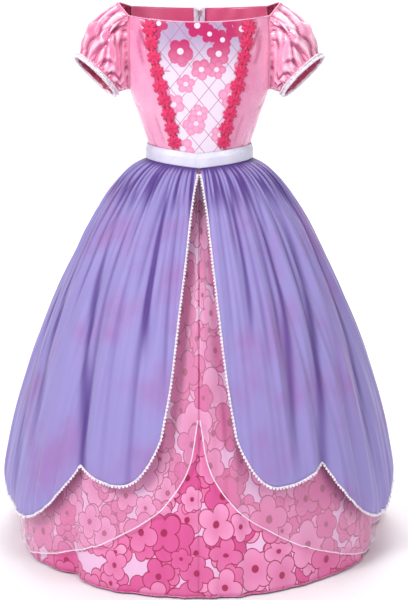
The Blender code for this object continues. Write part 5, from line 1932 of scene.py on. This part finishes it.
@dataclass
class LongSkirts:
    """The clear organza layer and the printed underskirt."""

    form: SkirtForm
    finish: Wardrobe
    repeat: Repeat
    rows: int = 84

    SHEER_EDGE = (
        (0.35, -0.636), (0.5, -0.640), (2.5, -0.700), (6.0, -0.740), (12.5, -0.783), (22.0, -0.820),
        (38.0, -0.868), (62.0, -0.906), (110.0, -0.911), (180.0, -0.911),
    )

    FRONT_FOLDS = ((4.2, 0.9), (7.6, 1.0), (11.5, 1.3))

    def grid(self, azimuths: Array, ends: Array, side: Side, inset: Inset) -> tuple[Array, Array]:
        """A layer's points over a list of azimuths, down to a height for each.

        Args:
            azimuths: degrees, from the front.
            ends: the lower edge's heights.
            side: which half.
            inset: how far inside the overskirt it lies.

        Returns:
            The points and the cloth coordinates.
        """
        form = self.form
        down = np.linspace(0.0, 1.0, self.rows)[:, None] ** 1.15
        height = mixed(form.body.waist_height(azimuths)[None, :] - 0.0004, ends[None, :], down)
        azimuth = np.broadcast_to(azimuths[None, :] * float(side.sign), height.shape)
        share = form.share_at(azimuth, height)
        parted = form.parted(share)
        soft = inset.ripple * parted * curve_noise(azimuth * 0.20, 60 + int(inset.full * 1e4))
        for middle, spread in self.FRONT_FOLDS:
            near_front = np.exp(-(((np.abs(azimuth) - middle) / spread) ** 2))
            soft = soft + 1.3 * inset.ripple * near_front * smooth((share - 0.45) / 0.2)
        inside = mixed(inset.near, inset.full, parted)
        points = form.layer(azimuth, share, inside, form.swing(azimuth, share) + soft)
        radius = 0.33 * smooth(share * 1.2) + 0.10
        cloth = np.stack([np.radians(azimuth) * mixed(0.34, radius, 0.25), height], axis=-1)
        return points, cloth

    def build(self) -> None:
        """Builds and dresses both layers and their hems."""
        for side in Side:
            self.build_sheer(side)
            for place, start in (("front", 0.0), ("back", 90.0)):
                self.build_gore(side, place, start)

    def build_sheer(self, side: Side) -> None:
        """One half of the organza, with its rolled white hem."""
        azimuths = np.concatenate([np.linspace(0.35, 12.0, 40)[:-1], np.linspace(12.0, 179.95, 200)])
        ends = Curve(self.SHEER_EDGE)(azimuths)
        points, cloth = self.grid(azimuths, ends, side, self.form.SHEER)
        grid, mapped = flipped(side is Side.RIGHT, points, cloth)
        name = f"organza_skirt_{side.word}"
        piece = grid_mesh(name, grid, mapped, [self.finish.organza], wall=0.0)
        dress_piece(piece, "clear_organza", f"sheer_skirt_{side.word}")
        hem = self.repeat.cord(f"organza_hem_{side.word}", points[-1], 0.0010, self.finish.hem)
        dress_piece(hem, "clear_organza")

    def build_gore(self, side: Side, place: str, start: float) -> None:
        """One printed gore, with its narrow turned hem.

        Args:
            side: which side.
            place: front or back.
            start: the azimuth where it starts.
        """
        azimuths = np.linspace(start, start + 90.0, 104)
        ends = np.full(azimuths.shape, HEM)
        points, cloth = self.grid(azimuths, ends, side, self.form.PRINT)
        grid, mapped = flipped(side is Side.RIGHT, points, cloth)
        name = f"printed_gore_{place}_{side.word}"
        piece = grid_mesh(name, grid, mapped, [self.finish.print], wall=0.0006)
        dress_piece(piece, "flower_print_satin", f"underskirt_{place}_{side.word}")
        path = points[-1] + np.array([0.0, 0.0, 0.0008])
        turned = self.repeat.cord(f"turned_hem_{place}_{side.word}", path, 0.0011, self.finish.print_edge)
        dress_piece(turned, "flower_print_satin")


@dataclass
class BackZip:
    """The zip: tapes, teeth and the finish of the solid slider and pull tab."""

    form: BodyForm
    finish: Wardrobe
    repeat: Repeat
    parts: Parts
    tape_half: float = 0.010
    top: float = NECK_BACK
    chain_top: float = -0.0165

    def strip(self, name: str, x: tuple[float, float], out: float, wall: float) -> Piece:
        """A strip down the centre back between two distances from the centre."""
        height = np.linspace(self.top, WAIST, 80)[:, None]
        across = np.linspace(x[0], x[1], 7)[None, :]
        azimuth = 180.0 - np.degrees(across / self.form.radius(180.0, height))
        points = self.form.point(azimuth, np.broadcast_to(height, azimuth.shape), out)
        cloth = np.stack(np.broadcast_arrays(across, height), axis=-1)
        return grid_mesh(name, points, cloth, [self.finish.tape], wall=wall)

    def build(self) -> None:
        """Builds and dresses the zip."""
        for side in Side:
            inner, outer = 0.0011 * side.sign, self.tape_half * side.sign
            ends = (outer, inner) if side is Side.LEFT else (inner, outer)
            piece = self.strip(f"zip_cloth_{side.word}", ends, -0.0024, 0.0008)
            dress_piece(piece, "white_zip_tape", f"zip_tape_{side.word}")
        height = np.linspace(self.chain_top, WAIST + 0.001, 100)
        points = self.form.point(180.0, height, -0.0007)
        facing = np.broadcast_to(np.array([0.0, 1.0, 0.0]), points.shape)
        teeth = self.repeat.row(
            "zip_teeth", points, facing, self.parts.tooth, self.finish.tape, 0.0019, 0.0, 0.02
        )
        dress_piece(teeth, "white_zip_tape", "zip_chain")
        for node in ("zip_slider", "zip_pull_tab"):
            shown = frame["nodes"][node]
            shown.data.materials.clear()
            shown.data.materials.append(self.finish.metal)


@dataclass
class Studio:
    """Floor, lights and the camera at the photograph's angle."""

    camera_at: Triple = (0.008, -2.5, 0.05)
    camera_down: float = 12.568
    lens: float = 88.2
    floor: float = -0.9235

    def build(self) -> None:
        """Builds the studio."""
        self.build_floor()
        middle = (0.0, 0.0, -0.35)
        self.add_light("key", (-1.7, -1.9, 1.3), 0.8, 60.0, middle)
        self.add_light("fill", (1.9, -2.0, 0.7), 1.6, 19.0, middle)
        self.add_light("strip", (1.1, -1.7, 1.6), 0.30, 9.0, (0.0, 0.0, -0.15))
        self.add_light("top", (0.2, 0.3, 2.4), 1.6, 26.0, middle)
        self.add_light("back", (0.3, 2.6, 1.2), 1.8, 26.0, middle)
        self.add_light("backdrop", (0.0, 3.2, 2.4), 4.0, 130.0, (0.0, 4.6, -0.8))
        world = bpy.data.worlds.new("studio")
        world.use_nodes = True
        world.node_tree.nodes["Background"].inputs[0].default_value = (1.0, 1.0, 1.0, 1.0)
        world.node_tree.nodes["Background"].inputs[1].default_value = 0.29
        bpy.context.scene.world = world
        bpy.context.scene.view_settings.view_transform = "Standard"
        camera = bpy.data.objects.new("camera", bpy.data.cameras.new("camera"))
        camera.location = self.camera_at
        camera.rotation_euler = (math.radians(90.0 - self.camera_down), 0.0, 0.0)
        camera.data.lens = self.lens
        camera.data.sensor_width = 36.0
        bpy.context.scene.collection.objects.link(camera)
        bpy.context.scene.camera = camera

    def build_floor(self) -> None:
        """A floor that curves up into a backdrop."""
        profile = [(-6.0, self.floor), (4.0, self.floor)]
        profile += [
            (4.0 + 1.5 * math.sin(turn), self.floor + 1.5 - 1.5 * math.cos(turn))
            for turn in np.linspace(0.0, math.pi / 2, 13)[1:]
        ]
        profile.append((5.5, 6.0))
        mesh = bpy.data.meshes.new("studio_floor")
        count = len(profile)
        points = [(x, y, z) for x in (-8.0, 8.0) for y, z in profile]
        faces = [(i, i + count, i + count + 1, i + 1) for i in range(count - 1)]
        mesh.from_pydata(points, [], faces)
        mesh.shade_smooth()
        mesh.materials.append(Paper("studio_paper", 0.9).material())
        floor = bpy.data.objects.new("studio_floor", mesh)
        bpy.context.scene.collection.objects.link(floor)

    @staticmethod
    def add_light(
        name: str,
        place: Triple,
        size: float,
        power: float,
        aim: Triple,
    ) -> None:
        """A soft square light.

        Args:
            name: its name.
            place: where it is.
            size: its width, in metres.
            power: in watts.
            aim: the point that it faces.
        """
        data = bpy.data.lights.new(name, "AREA")
        data.size = size
        data.energy = power
        light = bpy.data.objects.new(name, data)
        light.location = place
        toward = Vector(aim) - Vector(place)
        light.rotation_euler = toward.to_track_quat("-Z", "Y").to_euler()
        bpy.context.scene.collection.objects.link(light)


def main() -> None:
    logging.basicConfig(level=logging.INFO, format="%(name)s %(message)s")
    Studio().build()
    body = BodyForm()
    skirt = SkirtForm(body)
    finish, repeat, parts = Wardrobe(), Repeat(), Parts()
    Bodice(body, finish, repeat, parts).build()
    PuffSleeves(body, finish, repeat, parts).build()
    Overskirt(skirt, finish, repeat, parts).build()
    LongSkirts(skirt, finish, repeat).build()
    BackZip(body, finish, repeat, parts).build()
    for part in (parts.bead, parts.loop, parts.stitch, parts.tooth, parts.flower):
        bpy.data.objects.remove(part)


if __name__ == "__main__":
    main()
